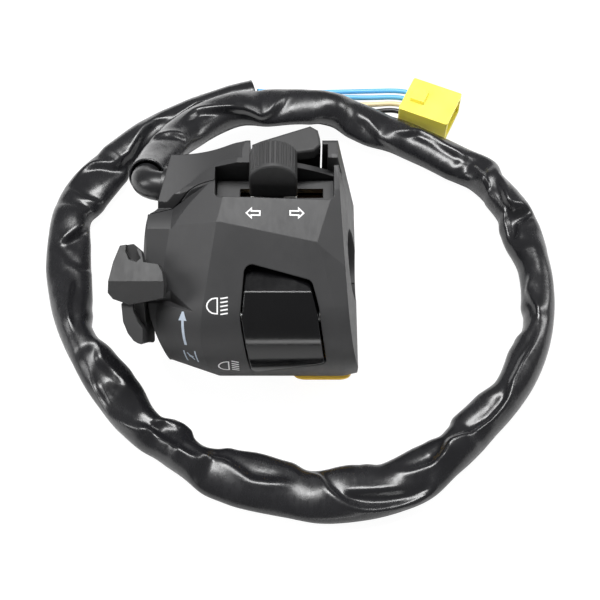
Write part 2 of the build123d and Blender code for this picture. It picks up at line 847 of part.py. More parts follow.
def rear_housing():
    """Rider's half: the face, the recess, the windows and the carriers of the switches."""
    tub = block(
        (recess_left_x - wall, recess_front_y - wall, recess_floor_z - recess_floor),
        (recess_right_x + wall, recess_back_y, top_z),
    )
    saddle = rod(bar_radius + saddle_wall, (hub_pocket_x, 0, 0), right_open)
    carriers = [tub, saddle, dimmer_pad()] + board_bosses() + horn_bosses() + dimmer_lugs()
    carriers += [screw_boss(x, z, parting) for x, z, parting in screw_places]
    with BuildPart() as rear:
        add(outer)
        add(hollow, mode=Mode.SUBTRACT)
        add([inside_of(carrier, outer) for carrier in carriers])
        add(rod(bar_radius, left_open, right_open), mode=Mode.SUBTRACT)
        add(rod(hub_outer_radius + running_gap, left_open, (hub_pocket_x, 0, 0)), mode=Mode.SUBTRACT)
        add(recess_space(), mode=Mode.SUBTRACT)
        add(through_dimmer_window(0), mode=Mode.SUBTRACT)
        with BuildSketch(horn_plane(belly_radius - horn_lip_drop)):
            RectangleRounded(horn_width + 2 * running_gap, horn_height + 2 * running_gap, horn_corner)
        extrude(amount=horn_lip_drop + overrun, mode=Mode.SUBTRACT)
        pin_left = (dimmer_window_low_x - dimmer_lug_gap - dimmer_lug, dimmer_pin_y, dimmer_pin_z)
        pin_right = (
            dimmer_window_low_x + dimmer_window_width + dimmer_lug_gap + dimmer_lug,
            dimmer_pin_y,
            dimmer_pin_z,
        )
        add(rod(dimmer_pin_radius + pin_gap, pin_left, pin_right), mode=Mode.SUBTRACT)
        port_foot = (cable_port_x, cable_port_y, low_z - overrun)
        add(
            rod(cable_port_radius, port_foot, (cable_port_x, cable_port_y, cable_port_top_z)),
            mode=Mode.SUBTRACT,
        )
        add(rod(cable_wire_radius, port_foot, (cable_port_x, cable_port_y, 0)), mode=Mode.SUBTRACT)
        for boss_x in turn_boss_xs:
            add(rod(
                board_screw_radius + seat_gap,
                (boss_x, turn_boss_y, turn_board_z),
                (boss_x, turn_boss_y, turn_screw_top_z),
            ),
                mode=Mode.SUBTRACT)
        for boss_x in dimmer_screw_xs:
            add(dimmer_rod(
                board_screw_radius + seat_gap,
                boss_x,
                dimmer_screw_q,
                dimmer_board_distance,
                dimmer_screw_end,
            ),
                mode=Mode.SUBTRACT)
        for foot in horn_feet():
            add(
                rod(board_screw_radius + seat_gap, foot, foot + horn_out * board_screw_length),
                mode=Mode.SUBTRACT,
            )
        for x, z, parting in screw_places:
            add(
                rod(
                    screw_radius * screw_core_share,
                    (x, parting + overrun, z),
                    (x, parting - screw_boss_length, z),
                ),
                mode=Mode.SUBTRACT,
            )
        add(front_region(-half_gap), mode=Mode.SUBTRACT)
    return rear.part


front_turn = math.radians(front_end_lean)
front_out = Vector(-math.cos(front_turn), math.sin(front_turn), 0)
exit_point = Vector(front_end_x + (exit_y - back_y) * math.tan(front_turn), exit_y, exit_z)


def pass_pocket(margin):
    """Space of the trigger's pocket, or its walls where the margin is their thickness."""
    return block(
        (pass_window_left_x - margin, recess_back_y + strip_depth - margin, pass_window_low_z - margin),
        (pass_window_right_x + margin, back_y - wall + margin, top_z + overrun),
    )


def pass_window():
    """Way out of the trigger's pocket through the back wall."""
    return block(
        (pass_window_left_x, back_y - wall - running_gap, pass_window_low_z),
        (pass_slot_right_x, back_y + overrun, top_z + overrun),
    )


def strip_wedge():
    """What is cut off the top of the strip behind the recess, which falls to the right."""
    far_x = right_skirt_x + overrun
    with BuildPart() as wedge:
        with BuildSketch(Plane.XZ.offset(-recess_back_y - strip_depth)):
            with BuildLine():
                start = (pass_window_left_x, top_z)
                low = (strip_low_x, strip_low_z)
                ThreePointArc(start, (strip_middle_x, strip_middle_z), low)
                Polyline(
                    low,
                    (far_x, strip_low_z),
                    (far_x, top_z + overrun),
                    (pass_window_left_x, top_z + overrun),
                    start,
                )
            make_face()
        extrude(amount=strip_depth + overrun)
    return wedge.part


def front_housing():
    """Half away from the rider: clamps the bar, holds the trigger and lets the harness out."""
    saddle = rod(bar_radius + saddle_wall, (hub_pocket_x, 0, 0), right_open)
    strip = block(
        (recess_left_x - wall, recess_back_y, recess_floor_z - recess_floor),
        (right_skirt_x, recess_back_y + strip_depth, top_z),
    )
    tub_corner = block(
        (recess_left_x - wall, recess_front_y, recess_floor_z - recess_floor),
        (recess_left_x, recess_back_y + strip_depth, top_z),
    )
    carriers = [saddle, strip, tub_corner, pass_pocket(pass_pocket_wall)]
    carriers += [rod(screw_head_radius + screw_front_wall, (x, 0, z), (x, back_y, z)) for x, z, parting in screw_places]
    with BuildPart() as front:
        add(outer)
        add(hollow, mode=Mode.SUBTRACT)
        add([inside_of(carrier, outer) for carrier in carriers])
        add(rod(bar_radius, left_open, right_open), mode=Mode.SUBTRACT)
        add(rod(hub_outer_radius + running_gap, left_open, (hub_pocket_x, 0, 0)), mode=Mode.SUBTRACT)
        add(pass_pocket(0), mode=Mode.SUBTRACT)
        add(pass_window(), mode=Mode.SUBTRACT)
        add(strip_wedge(), mode=Mode.SUBTRACT)
        pin_foot = (pass_pin_x, pass_pin_y, pass_window_low_z)
        pin_root = (pass_pin_x, pass_pin_y, pass_window_low_z - pass_pocket_wall)
        add(rod(pass_pin_radius + pin_gap, pin_foot, pin_root), mode=Mode.SUBTRACT)
        stem_hole = (pass_contact_x, recess_back_y + strip_depth + seat_gap, pass_contact_z)
        stem_end = (pass_contact_x, recess_back_y, pass_contact_z)
        add(rod(rivet_radius, stem_hole, stem_end), mode=Mode.SUBTRACT)
        add(
            rod(grommet_neck_radius, exit_point + front_out * overrun, exit_point - front_out * overrun),
            mode=Mode.SUBTRACT,
        )
        spot = exit_point - front_out * wall
        add(
            rod(grommet_flange_radius + seat_gap, spot, spot - front_out * grommet_flange),
            mode=Mode.SUBTRACT,
        )
        for x, z, parting in screw_places:
            add(rod(screw_radius + running_gap / 2, (x, 0, z), (x, back_y, z)), mode=Mode.SUBTRACT)
            seat = parting + screw_seat
            add(
                rod(screw_head_radius + running_gap, (x, seat, z), (x, back_y + overrun, z)),
                mode=Mode.SUBTRACT,
            )
        add(front_region(half_gap), mode=Mode.INTERSECT)
    return front.part


def housing_screws():
    """Three pan-head screws that pull the halves together on the bar."""
    with BuildPart() as screws:
        for x, z, parting in screw_places:
            seat = parting + screw_seat
            add(rod(screw_radius * screw_core_share - seat_gap, (x, seat, z), (x, seat - screw_length, z)))
            add(rod(screw_head_radius, (x, seat, z), (x, seat + screw_head, z)))
            add(
                rod(
                    screw_radius * screw_socket_share,
                    (x, seat + screw_head, z),
                    (x, seat + screw_head / 2, z),
                ),
                mode=Mode.SUBTRACT,
            )
    return screws.part


turn_carriage_top_z = recess_floor_z - recess_floor - running_gap
turn_carriage_low_z = turn_carriage_top_z - carriage_height
turn_board_top_z = turn_board_z + board_thickness


def turn_knob():
    """Ribbed arch that the thumb slides, with the stem through the slot."""
    left = knob_x - knob_width / 2
    right = knob_x + knob_width / 2
    rise = knob_top_z - knob_shoulder_z
    with BuildPart() as knob:
        with BuildSketch(Plane.XZ.offset(-knob_front_y)):
            with BuildLine():
                Polyline(
                    (left, knob_shoulder_z),
                    (left, knob_base_z),
                    (right, knob_base_z),
                    (right, knob_shoulder_z),
                )
                ThreePointArc((right, knob_shoulder_z), (knob_x, knob_top_z), (left, knob_shoulder_z))
            make_face()
        extrude(amount=-(knob_back_y - knob_front_y))
        fillet(knob.faces().sort_by(Axis.Y)[0].edges().filter_by(GeomType.CIRCLE), radius=knob_edge)
        for index in range(knob_rib_count):
            turn = math.radians(knob_rib_low + (180 - 2 * knob_rib_low) * index / (knob_rib_count - 1))
            x = knob_x + knob_width / 2 * math.cos(turn)
            z = knob_shoulder_z + rise * math.sin(turn)
            start = (x, knob_front_y + knob_rib_start, z)
            add(rod(knob_rib_radius, start, (x, knob_back_y + overrun, z)), mode=Mode.SUBTRACT)
        low_corner = (left - overrun, recess_back_y - 2 * running_gap, knob_base_z - overrun)
        high_corner = (right + overrun, knob_back_y + overrun, knob_heel_z)
        add(block(low_corner, high_corner), mode=Mode.SUBTRACT)
        stem_low = (knob_x - stem_width / 2, slot_front_y + running_gap, turn_carriage_top_z)
        add(block(stem_low, (knob_x + stem_width / 2, slot_back_y - running_gap, knob_base_z)))
    return knob.part


def turn_carriage():
    """Slide under the recess floor that the knob's stem stands on."""
    left = knob_x - carriage_width / 2
    with BuildPart() as carriage:
        low_corner = (left, carriage_front_y, turn_carriage_low_z)
        add(block(low_corner, (left + carriage_width, carriage_back_y, turn_carriage_top_z)))
        bore_foot = (knob_x, detent_y, turn_carriage_top_z - detent_bore)
        bore_top = (knob_x, detent_y, turn_carriage_top_z + overrun)
        add(rod(detent_radius + seat_gap, bore_foot, bore_top), mode=Mode.SUBTRACT)
    return carriage.part


def detent_ball():
    """Ball that the carriage's spring presses against the underside of the recess floor."""
    with BuildPart() as ball:
        with Locations((knob_x, detent_y, recess_floor_z - recess_floor - seat_gap - detent_radius)):
            Sphere(detent_radius)
    return ball.part


def coil(radius, wire, foot, end, turns):
    """Compression spring between two points, its radius taken to the middle of the wire."""
    foot = Vector(*foot)
    way = Vector(*end) - foot
    room = wire + seat_gap
    height = way.length - 2 * room
    with BuildPart() as spring:
        with BuildLine() as path:
            start = foot + way.normalized() * room
            Helix(pitch=height / turns, height=height, radius=radius, center=start, direction=way)
        with BuildSketch(Plane(origin=path.line @ 0, z_dir=path.line % 0)):
            Circle(wire)
        sweep(path=path.line, is_frenet=True)
    return spring.part


def detent_spring():
    """Spring in the carriage under the ball."""
    foot = (knob_x, detent_y, turn_carriage_top_z - detent_bore)
    end = (knob_x, detent_y, recess_floor_z - recess_floor - 2 * detent_radius - seat_gap)
    return coil(detent_radius - 2 * detent_wire, detent_wire, foot, end, detent_turns)


def turn_bridge_contact():
    """Sliding contact under the carriage, with a foot at each end."""
    half = carriage_width / 2 - bridge_inset
    with BuildPart() as bridge:
        low_corner = (knob_x - half, turn_contact_front_y, turn_carriage_low_z - contact_thickness)
        add(block(low_corner, (knob_x + half, turn_contact_back_y, turn_carriage_low_z)))
        for x in (knob_x - half, knob_x + half - 2 * contact_thickness):
            foot_low = (x, turn_contact_front_y, turn_board_top_z + contact_thickness + seat_gap)
            add(block(foot_low, (x + 2 * contact_thickness, turn_contact_back_y, turn_carriage_low_z)))
    return bridge.part


def turn_contact_board():
    """Board that carries the three fixed contacts of the turn signal."""
    with BuildPart() as board:
        low_corner = (turn_board_left_x, turn_board_front_y, turn_board_z)
        add(block(low_corner, (turn_board_right_x, turn_board_back_y, turn_board_top_z)))
        for x in turn_boss_xs:
            foot = (x, turn_boss_y, turn_board_z - overrun)
            add(
                rod(board_screw_radius + seat_gap, foot, (x, turn_boss_y, turn_board_top_z + overrun)),
                mode=Mode.SUBTRACT,
            )
        for x in rivet_xs:
            foot = (x, turn_boss_y, turn_board_z - overrun)
            add(rod(rivet_radius, foot, (x, turn_boss_y, turn_board_top_z + overrun)), mode=Mode.SUBTRACT)
    return board.part


def turn_fixed_contacts():
    """Three contact strips on the board, each held by a rivet."""
    top = turn_board_top_z + contact_thickness
    with BuildPart() as strips:
        for x in rivet_xs:
            low_corner = (x - turn_strip_width / 2, turn_contact_front_y, turn_board_top_z)
            add(block(low_corner, (x + turn_strip_width / 2, turn_contact_back_y, top)))
            add(
                rod(
                    rivet_radius,
                    (x, turn_boss_y, turn_board_z - contact_thickness),
                    (x, turn_boss_y, turn_board_top_z),
                ),
            )
    return strips.part


def board_screw(head, way):
    """Small pan-head screw with its head's underside at a point."""
    with BuildPart() as screw:
        add(rod(board_screw_radius, head, head + way * (board_screw_length - seat_gap)))
        add(rod(board_screw_head_radius, head - way * board_screw_head, head))
        slot_foot = head - way * board_screw_head
        add(
            rod(board_screw_radius / 2, slot_foot, slot_foot + way * (board_screw_head / 2)),
            mode=Mode.SUBTRACT,
        )
    return screw.part


def turn_board_screws():
    """Two screws that hold the turn signal's board under the recess."""
    with BuildPart() as screws:
        for x in turn_boss_xs:
            add(board_screw(Vector(x, turn_boss_y, turn_board_z), Vector(0, 0, 1)))
    return screws.part


def dimmer_rocker():
    """Glossy rocker: curved lower facet, ridge and sunken upper facet, on a barrel round its pin."""
    belly = (belly_y, belly_z)
    profiles = []
    for depth in (0, dimmer_skin):
        radius = belly_radius + dimmer_proud - depth
        facet = face_distance + dimmer_proud - depth
        start = on_arc(belly, radius, 180 - face_lean)
        start_b = start[0] * face_up.Y + start[1] * face_up.Z
        ridge = face_out * facet + face_up * (start_b + dimmer_ridge)
        top = face_out * (face_distance - dimmer_sunk - depth) + face_up * dimmer_sunk_v
        profiles.append([on_arc(belly, radius, angle) for angle in (180 + dimmer_low_angle, 180 - dimmer_low_angle, 180 - face_lean)]
                        + [(ridge.Y, ridge.Z), (top.Y, top.Z)])
    with BuildPart() as rocker:
        with BuildSketch(Plane.YZ):
            with BuildLine():
                for low, middle, high, ridge, top in profiles:
                    ThreePointArc(low, middle, high)
                    Polyline(high, ridge, top)
                Line(profiles[0][0], profiles[1][0])
                Line(profiles[0][-1], profiles[1][-1])
            make_face()
        extrude(amount=span, both=True)
        skin_inside = belly_radius + dimmer_proud - dimmer_skin / 2
        add(
            dimmer_block(
                dimmer_web_left_x,
                dimmer_web_right_x,
                dimmer_web_low_q,
                dimmer_web_high_q,
                dimmer_web_distance,
                dimmer_web_reach,
            ),
        )
        add(dimmer_window_rod(), mode=Mode.INTERSECT)
        barrel_left = (dimmer_barrel_left_x, dimmer_pin_y, dimmer_pin_z)
        barrel_right = (dimmer_barrel_right_x, dimmer_pin_y, dimmer_pin_z)
        add(rod(dimmer_barrel_radius, barrel_left, barrel_right))
        tail_low_q = dimmer_pin_q - dimmer_tail_width / 2
        tail_high_q = dimmer_pin_q + dimmer_tail_width / 2
        add(
            dimmer_block(
                dimmer_web_left_x,
                dimmer_web_right_x,
                tail_low_q,
                tail_high_q,
                dimmer_tail_distance,
                dimmer_web_distance + dimmer_web,
            ),
        )
        pin_right = (dimmer_barrel_right_x + overrun, dimmer_pin_y, dimmer_pin_z)
        add(
            rod(
                dimmer_pin_radius + pin_gap,
                (dimmer_barrel_left_x - overrun, dimmer_pin_y, dimmer_pin_z),
                pin_right,
            ),
            mode=Mode.SUBTRACT,
        )
        bore_end = dimmer_web_distance + dimmer_web
        add(
            dimmer_rod(dimmer_plunger_radius + seat_gap, dimmer_plunger_x, dimmer_plunger_q, 0, bore_end),
            mode=Mode.SUBTRACT,
        )
    return rocker.part


def dimmer_window_rod():
    """Space that the rocker fills in its window, with more room at the ends than at the sides."""
    shift = dimmer_end_gap - dimmer_side_gap
    with BuildPart() as way:
        extrude(dimmer_window(dimmer_side_gap, shift), amount=span)
        with BuildSketch(dimmer_plane):
            add(dimmer_window(dimmer_side_gap, -shift))
        extrude(amount=span, mode=Mode.INTERSECT)
    return way.part


def dimmer_pivot_pin():
    """Pin through both lugs and the rocker's barrel."""
    left = dimmer_window_low_x - dimmer_lug_gap - dimmer_lug
    right = dimmer_window_low_x + dimmer_window_width + dimmer_lug_gap + dimmer_lug
    return rod(dimmer_pin_radius, (left, dimmer_pin_y, dimmer_pin_z), (right, dimmer_pin_y, dimmer_pin_z))


def dimmer_plunger():
    """Round-nosed plunger in the rocker, which clicks over the board."""
    nose = dimmer_board_top + running_gap + dimmer_plunger_radius
    with BuildPart() as plunger:
        add(
            dimmer_rod(
                dimmer_plunger_radius,
                dimmer_plunger_x,
                dimmer_plunger_q,
                nose,
                nose + dimmer_plunger_length - dimmer_plunger_radius,
            ),
        )
        with Locations(dimmer_point(dimmer_plunger_x, dimmer_plunger_q, nose)):
            Sphere(dimmer_plunger_radius)
    return plunger.part


def dimmer_spring():
    """Spring behind the plunger."""
    start = dimmer_board_top + running_gap + dimmer_plunger_length
    foot = dimmer_point(dimmer_plunger_x, dimmer_plunger_q, start)
    end = dimmer_point(dimmer_plunger_x, dimmer_plunger_q, dimmer_web_distance + dimmer_web)
    return coil(dimmer_plunger_radius - 2 * detent_wire, detent_wire, foot, end, detent_turns)


def dimmer_bridge_contact():
    """Contact under the rocker's tail that joins the fixed contacts."""
    low_q = dimmer_pin_q - dimmer_tail_width / 2
    high_q = dimmer_pin_q + dimmer_tail_width / 2
    low_x = dimmer_web_left_x + dimmer_screw_inset
    high_x = dimmer_web_right_x - dimmer_screw_inset
    return dimmer_block(
        low_x, high_x, low_q, high_q, dimmer_tail_distance - dimmer_bridge, dimmer_tail_distance
    )


def dimmer_contact_board():
    """Board on the saddle under the rocker."""
    with BuildPart() as board:
        add(dimmer_block(dimmer_web_left_x, dimmer_web_right_x, dimmer_board_low_q, dimmer_board_high_q,
                         dimmer_board_distance, dimmer_board_top))
        for x in dimmer_screw_xs:
            add(dimmer_rod(board_screw_radius + seat_gap, x, dimmer_screw_q, 0, span), mode=Mode.SUBTRACT)
    return board.part


def dimmer_fixed_contacts():
    """Common contact and the two beams' contacts on the board."""
    top = dimmer_board_top + contact_thickness
    low_q = dimmer_pin_q - dimmer_tail_width / 2
    high_q = dimmer_pin_q + dimmer_tail_width / 2
    left = dimmer_screw_xs[0]
    right = dimmer_screw_xs[1]
    with BuildPart() as strips:
        add(dimmer_block(left, left + dimmer_tail_width, low_q, high_q, dimmer_board_top, top))
        add(
            dimmer_block(
                right - dimmer_tail_width,
                right,
                low_q,
                dimmer_pin_q - running_gap,
                dimmer_board_top,
                top,
            ),
        )
        add(
            dimmer_block(
                right - dimmer_tail_width,
                right,
                dimmer_pin_q + running_gap,
                high_q,
                dimmer_board_top,
                top,
            ),
        )
    return strips.part


def dimmer_board_screws():
    """Two screws that hold the dimmer's board on its pad."""
    with BuildPart() as screws:
        for x in dimmer_screw_xs:
            add(board_screw(dimmer_point(x, dimmer_screw_q, dimmer_board_top), -dimmer_out))
    return screws.part


def prism(points, low, high):
    """Upright prism over an outline."""
    with BuildPart() as solid:
        with BuildSketch(Plane.XY.offset(low)):
            with BuildLine():
                Polyline(*points, close=True)
            make_face()
        extrude(amount=high - low)
    return solid.part


def pass_trigger():
    """Finger trigger: cap on top and paddle behind, hung on an upright pin."""
    with BuildPart() as trigger:
        add(prism(pass_cap_points, pass_top_z - pass_cap, pass_top_z))
        fillet(trigger.faces().sort_by(Axis.Z)[-1].edges(), radius=pass_edge)
        add(prism(pass_paddle_points, pass_low_z, pass_top_z - pass_cap))
        notch_low = (pass_left_x - overrun, 0, pass_low_z - overrun)
        notch_high = (pass_paddle_x + running_gap, back_y + 2 * overrun, pass_low_z + pass_spring_room)
        add(block(notch_low, notch_high), mode=Mode.SUBTRACT)
        foot = (pass_pin_x, pass_pin_y, pass_low_z)
        add(
            rod(pass_pin_radius + pin_gap, foot, (pass_pin_x, pass_pin_y, pass_pin_top_z + pin_gap)),
            mode=Mode.SUBTRACT,
        )
    return trigger.part


def pass_pivot_pin():
    """Pin that stands in the floor of the window and carries the trigger."""
    foot = (pass_pin_x, pass_pin_y, pass_window_low_z - pass_pocket_wall)
    return rod(pass_pin_radius, foot, (pass_pin_x, pass_pin_y, pass_pin_top_z))


def pass_spring():
    """Return spring wound round the pin under the trigger."""
    foot = (pass_pin_x, pass_pin_y, pass_window_low_z)
    end = (pass_pin_x, pass_pin_y, pass_low_z + pass_spring_room - running_gap)
    return coil(pass_spring_radius, pass_wire, foot, end, detent_turns)


def pass_moving_contact():
    """Contact disc on the front of the trigger's paddle."""
    start = (pass_contact_x, pass_paddle_y - contact_thickness, pass_contact_z)
    return rod(pass_contact_radius, start, (pass_contact_x, pass_paddle_y, pass_contact_z))


pocket_front_y = recess_back_y + strip_depth


def pass_contact_base():
    """Insulated base on the window's front wall, with its stem through the wall."""
    with BuildPart() as base:
        low_corner = (
            pass_contact_x - pass_base_width / 2, pocket_front_y, pass_contact_z - pass_base_width / 2
        )
        high_corner = (
            pass_contact_x + pass_base_width / 2,
            pocket_front_y + pass_base_depth,
            pass_contact_z + pass_base_width / 2,
        )
        add(block(low_corner, high_corner))
        stem_end = (pass_contact_x, pocket_front_y - pass_pocket_wall, pass_contact_z)
        add(rod(rivet_radius, (pass_contact_x, pocket_front_y, pass_contact_z), stem_end))
    return base.part


def pass_fixed_contact():
    """Contact disc on the base."""
    start = (pass_contact_x, pocket_front_y + pass_base_depth, pass_contact_z)
    end = (pass_contact_x, pocket_front_y + pass_base_depth + contact_thickness, pass_contact_z)
    return rod(pass_contact_radius, start, end)


def horn_button():
    """Push button with rounded corners and a flange behind the wall on two sides."""
    with BuildPart() as button:
        with BuildSketch(horn_plane(horn_face - horn_depth)):
            RectangleRounded(horn_width, horn_height, horn_corner)
        extrude(amount=horn_depth)
        fillet(button.faces().sort_by(Axis(horn_origin, horn_out))[-1].edges(), radius=horn_edge)
        with BuildSketch(horn_plane(horn_flange_low)):
            Rectangle(horn_width - 2 * horn_corner, horn_height + 2 * horn_lip)
        extrude(amount=horn_flange_high - horn_flange_low)
    return button.part


def horn_contact_disc():
    """Contact disc under the button."""
    foot = horn_origin + horn_out * (horn_face - horn_depth - contact_thickness)
    return ring(
        horn_disc_radius, horn_disc_bore_radius, foot, horn_origin + horn_out * (horn_face - horn_depth)
    )


def horn_contact_base():
    """Insulated plate that carries the horn's fixed contacts and its spring."""
    top = belly_radius - horn_plate_depth
    with BuildPart() as base:
        with BuildSketch(horn_plane(top - horn_base)):
            with Locations(((horn_plate_left_x + horn_plate_right_x) / 2 - horn_x, 0)):
                Rectangle(horn_plate_right_x - horn_plate_left_x, 2 * horn_base_half)
        extrude(amount=horn_base)
        for foot in horn_feet():
            add(
                rod(board_screw_radius + seat_gap, foot - horn_out * horn_base, foot + horn_out * overrun),
                mode=Mode.SUBTRACT,
            )
    return base.part


def horn_fixed_contacts():
    """Two contact strips beside the spring."""
    top = belly_radius - horn_plate_depth
    with BuildPart() as strips:
        with BuildSketch(horn_plane(top)):
            with Locations((0, horn_contact_side), (0, -horn_contact_side)):
                Rectangle(horn_contact_length, horn_contact_width)
        extrude(amount=contact_thickness)
    return strips.part


def horn_base_screws():
    """Two screws that hold the horn's base on its bosses."""
    with BuildPart() as screws:
        for foot in horn_feet():
            add(board_screw(foot, horn_out))
    return screws.part


def horn_spring():
    """Return spring between the base and the contact disc."""
    foot = horn_origin + horn_out * (belly_radius - horn_plate_depth)
    end = horn_origin + horn_out * (horn_face - horn_depth - contact_thickness)
    return coil(horn_spring_radius, detent_wire, foot, end, detent_turns)


def about_bar(low_angle, high_angle, inner_radius, outer_radius, left_x, right_x):
    """Part of a ring about the bar, its angles measured backwards from the face direction."""
    start = lean_to(face_lean + low_angle)
    with BuildPart() as sector:
        with BuildSketch(Plane(origin=(0, 0, 0), x_dir=(1, 0, 0), z_dir=(0, -start.Z, start.Y))):
            with Locations(((left_x + right_x) / 2, (inner_radius + outer_radius) / 2)):
                Rectangle(right_x - left_x, outer_radius - inner_radius)
        revolve(axis=Axis.X, revolution_arc=low_angle - high_angle)
    return sector.part


def face_prism(points, low, high):
    """Prism along the face direction over an outline in X and the direction up the face."""
    with BuildPart() as solid:
        with BuildSketch(Plane(origin=face_out * low, x_dir=(1, 0, 0), z_dir=face_out)):
            with BuildLine():
                Polyline(*points, close=True)
            make_face()
        extrude(amount=high - low)
    return solid.part


def choke_tab():
    """Thumb tab: a ridge across it, a fin at the left and a scoop beside the fin."""
    ridge = face_out * tab_ridge_height + face_up * tab_ridge_v
    with BuildPart() as tab:
        add(face_prism(tab_points, tab_low_height, tab_ridge_height + overrun))
        for lean in (tab_back_lean, -tab_front_lean):
            turn = math.radians(lean)
            split(
                bisect_by=Plane(origin=ridge, z_dir=face_out * math.cos(turn) + face_up * math.sin(turn)),
                keep=Keep.BOTTOM,
            )
        add(face_prism(tab_scoop_points, tab_scoop_height, tab_ridge_height + overrun), mode=Mode.SUBTRACT)
    return tab.part


def choke_lever():
    """Lever on a hub round the bar: web, curved arm and the tab that the thumb moves."""
    clear_x = left_end_x - running_gap
    web_inner = (hub_inner_radius + hub_outer_radius) / 2
    arm_outer = [(x - arm_thickness / 2, v - arm_thickness / 2) for x, v in arm_points]
    arm_inner = [(x + arm_thickness / 2, v + arm_thickness / 2) for x, v in reversed(arm_points)]
    with BuildPart() as lever:
        hub_end_x = hub_pocket_x - washer_thickness - 2 * seat_gap
        add(ring(hub_outer_radius, hub_inner_radius, (hub_left_x, 0, 0), (hub_end_x, 0, 0)))
        add(about_bar(-web_high_angle, -web_low_angle, web_inner, web_radius, web_left_x, clear_x))
        with BuildPart(mode=Mode.PRIVATE) as arm:
            add(face_prism(arm_outer + arm_inner, arm_low_c, arm_high_c))
            add(block((clear_x, -span, -span), (0, span, span)), mode=Mode.SUBTRACT)
        add(arm.part)
        add(choke_tab())
    return lever.part


def friction_washer():
    """Washer between the lever's hub and the bottom of its pocket."""
    start = (hub_pocket_x - seat_gap - washer_thickness, 0, 0)
    return ring(hub_outer_radius, hub_inner_radius + running_gap, start, (hub_pocket_x - seat_gap, 0, 0))


def bend_radii(points):
    """Largest even bend at each corner of a route."""
    radii = []
    for before, here, after in zip(points, points[1:], points[2:]):
        first = Vector(*here) - Vector(*before)
        second = Vector(*after) - Vector(*here)
        half = math.radians(first.get_angle(second)) / 2
        radii.append(cord_share * min(first.length, second.length) / math.tan(half))
    return radii


def cord(points, radius, name, radii=None):
    """Plain tube along a route of straight runs and tangent bends."""
    radii = radii or bend_radii(points)
    print(name, "bend radii", [round(bend, 1) for bend in radii])
    with BuildPart() as tube:
        with BuildLine() as path:
            FilletPolyline(*points, radius=radii)
        with BuildSketch(Plane(origin=path.line @ 0, z_dir=path.line % 0)):
            Circle(radius)
        sweep(path=path.line)
    length = path.wire().length
    print(
        name,
        "length",
        round(length, 1),
        "volume share",
        round(tube.part.volume / (math.pi * radius**2 * length), 4),
    )
    return tube.part


elbow_points = [
    exit_point + front_out * (-wall - grommet_flange),
    exit_point + front_out * elbow_reach,
    exit_point + front_out * elbow_reach + Vector(*elbow_turn).normalized() * elbow_leg,
]


def cable_grommet():
    """Rubber elbow through the front half's slanted end, with a flange on each side of the wall."""
    inner = exit_point - front_out * wall
    with BuildPart() as grommet:
        add(cord(elbow_points, elbow_radius, "cable_grommet", [elbow_bend]))
        add(rod(grommet_neck_radius - seat_gap, inner, exit_point))
        add(rod(grommet_flange_radius, inner - front_out * grommet_flange, inner))
        add(rod(grommet_flange_radius, exit_point, exit_point + front_out * grommet_flange))
        bore_foot = elbow_points[0] - front_out * seat_gap
        add(
            rod(grommet_bore_radius, bore_foot, bore_foot + front_out * grommet_bore_depth),
            mode=Mode.SUBTRACT,
        )
    return grommet.part


def switch_leads():
    """Leads from the four switches to the grommet, held inside the housing all the way."""
    with BuildPart() as leads:
        for points in lead_routes:
            add(cord(points, lead_radius, "switch_leads"))
    return leads.part


def harness_sleeve():
    """Plastic sleeve of the harness, from the grommet's elbow round the housing to its cut end."""
    return cord([tuple(elbow_points[-1])] + sleeve_points, sleeve_radius, "harness_sleeve")


plug_along = Vector(*plug_way).normalized()
plug_across = Vector(-plug_along.Y, plug_along.X, 0)
plug_plane = Plane(origin=Vector(*plug_middle), x_dir=plug_along, z_dir=(0, 0, 1))


def plug_point(along, across, up):
    """Point placed by the plug's own directions."""
    return Vector(*plug_middle) + plug_along * along + plug_across * across + Vector(0, 0, up)


def plug_wires(name):
    """One or two wires from the sleeve's cut end to the plug."""
    with BuildPart() as wires:
        for slot, points in wire_routes[name]:
            along = -plug_length / 2
            across = (slot - (plug_ways - 1) / 2) * plug_pitch
            last = [
                tuple(plug_point(along - wire_lead, across, plug_wire_up)),
                tuple(plug_point(along, across, plug_wire_up)),
            ]
            add(cord(points + last, wire_radius, name))
    return wires.part


def connector_housing():
    """Plug body with one open cavity for each wire's terminal and a latch on top."""
    with BuildPart() as plug:
        with BuildSketch(plug_plane.offset(-plug_height / 2)):
            Rectangle(plug_length, plug_width)
        extrude(amount=plug_height)
        fillet(plug.edges().filter_by(Axis.Z), radius=plug_wall / 2)
        with BuildSketch(plug_plane.offset(plug_height / 2)):
            with Locations((-plug_length / 2 + latch_length, 0)):
                Rectangle(latch_length, latch_width)
        extrude(amount=latch_height)
        with BuildSketch(Plane(origin=plug_point(plug_length / 2, 0, 0), x_dir=plug_across, z_dir=plug_along)):
            Rectangle(plug_width - 2 * plug_wall, plug_height - 2 * plug_wall)
        extrude(amount=-plug_mouth, mode=Mode.SUBTRACT)
        for slot in range(plug_ways):
            across = (slot - (plug_ways - 1) / 2) * plug_pitch
            spot = plug_point(plug_length / 2 - plug_mouth, across, plug_wire_up)
            with BuildSketch(Plane(origin=spot, x_dir=plug_across, z_dir=plug_along)):
                Rectangle(terminal_width + 2 * seat_gap, terminal_width + 2 * seat_gap)
            extrude(amount=-(plug_length - plug_mouth - plug_wall), mode=Mode.SUBTRACT)
    return plug.part


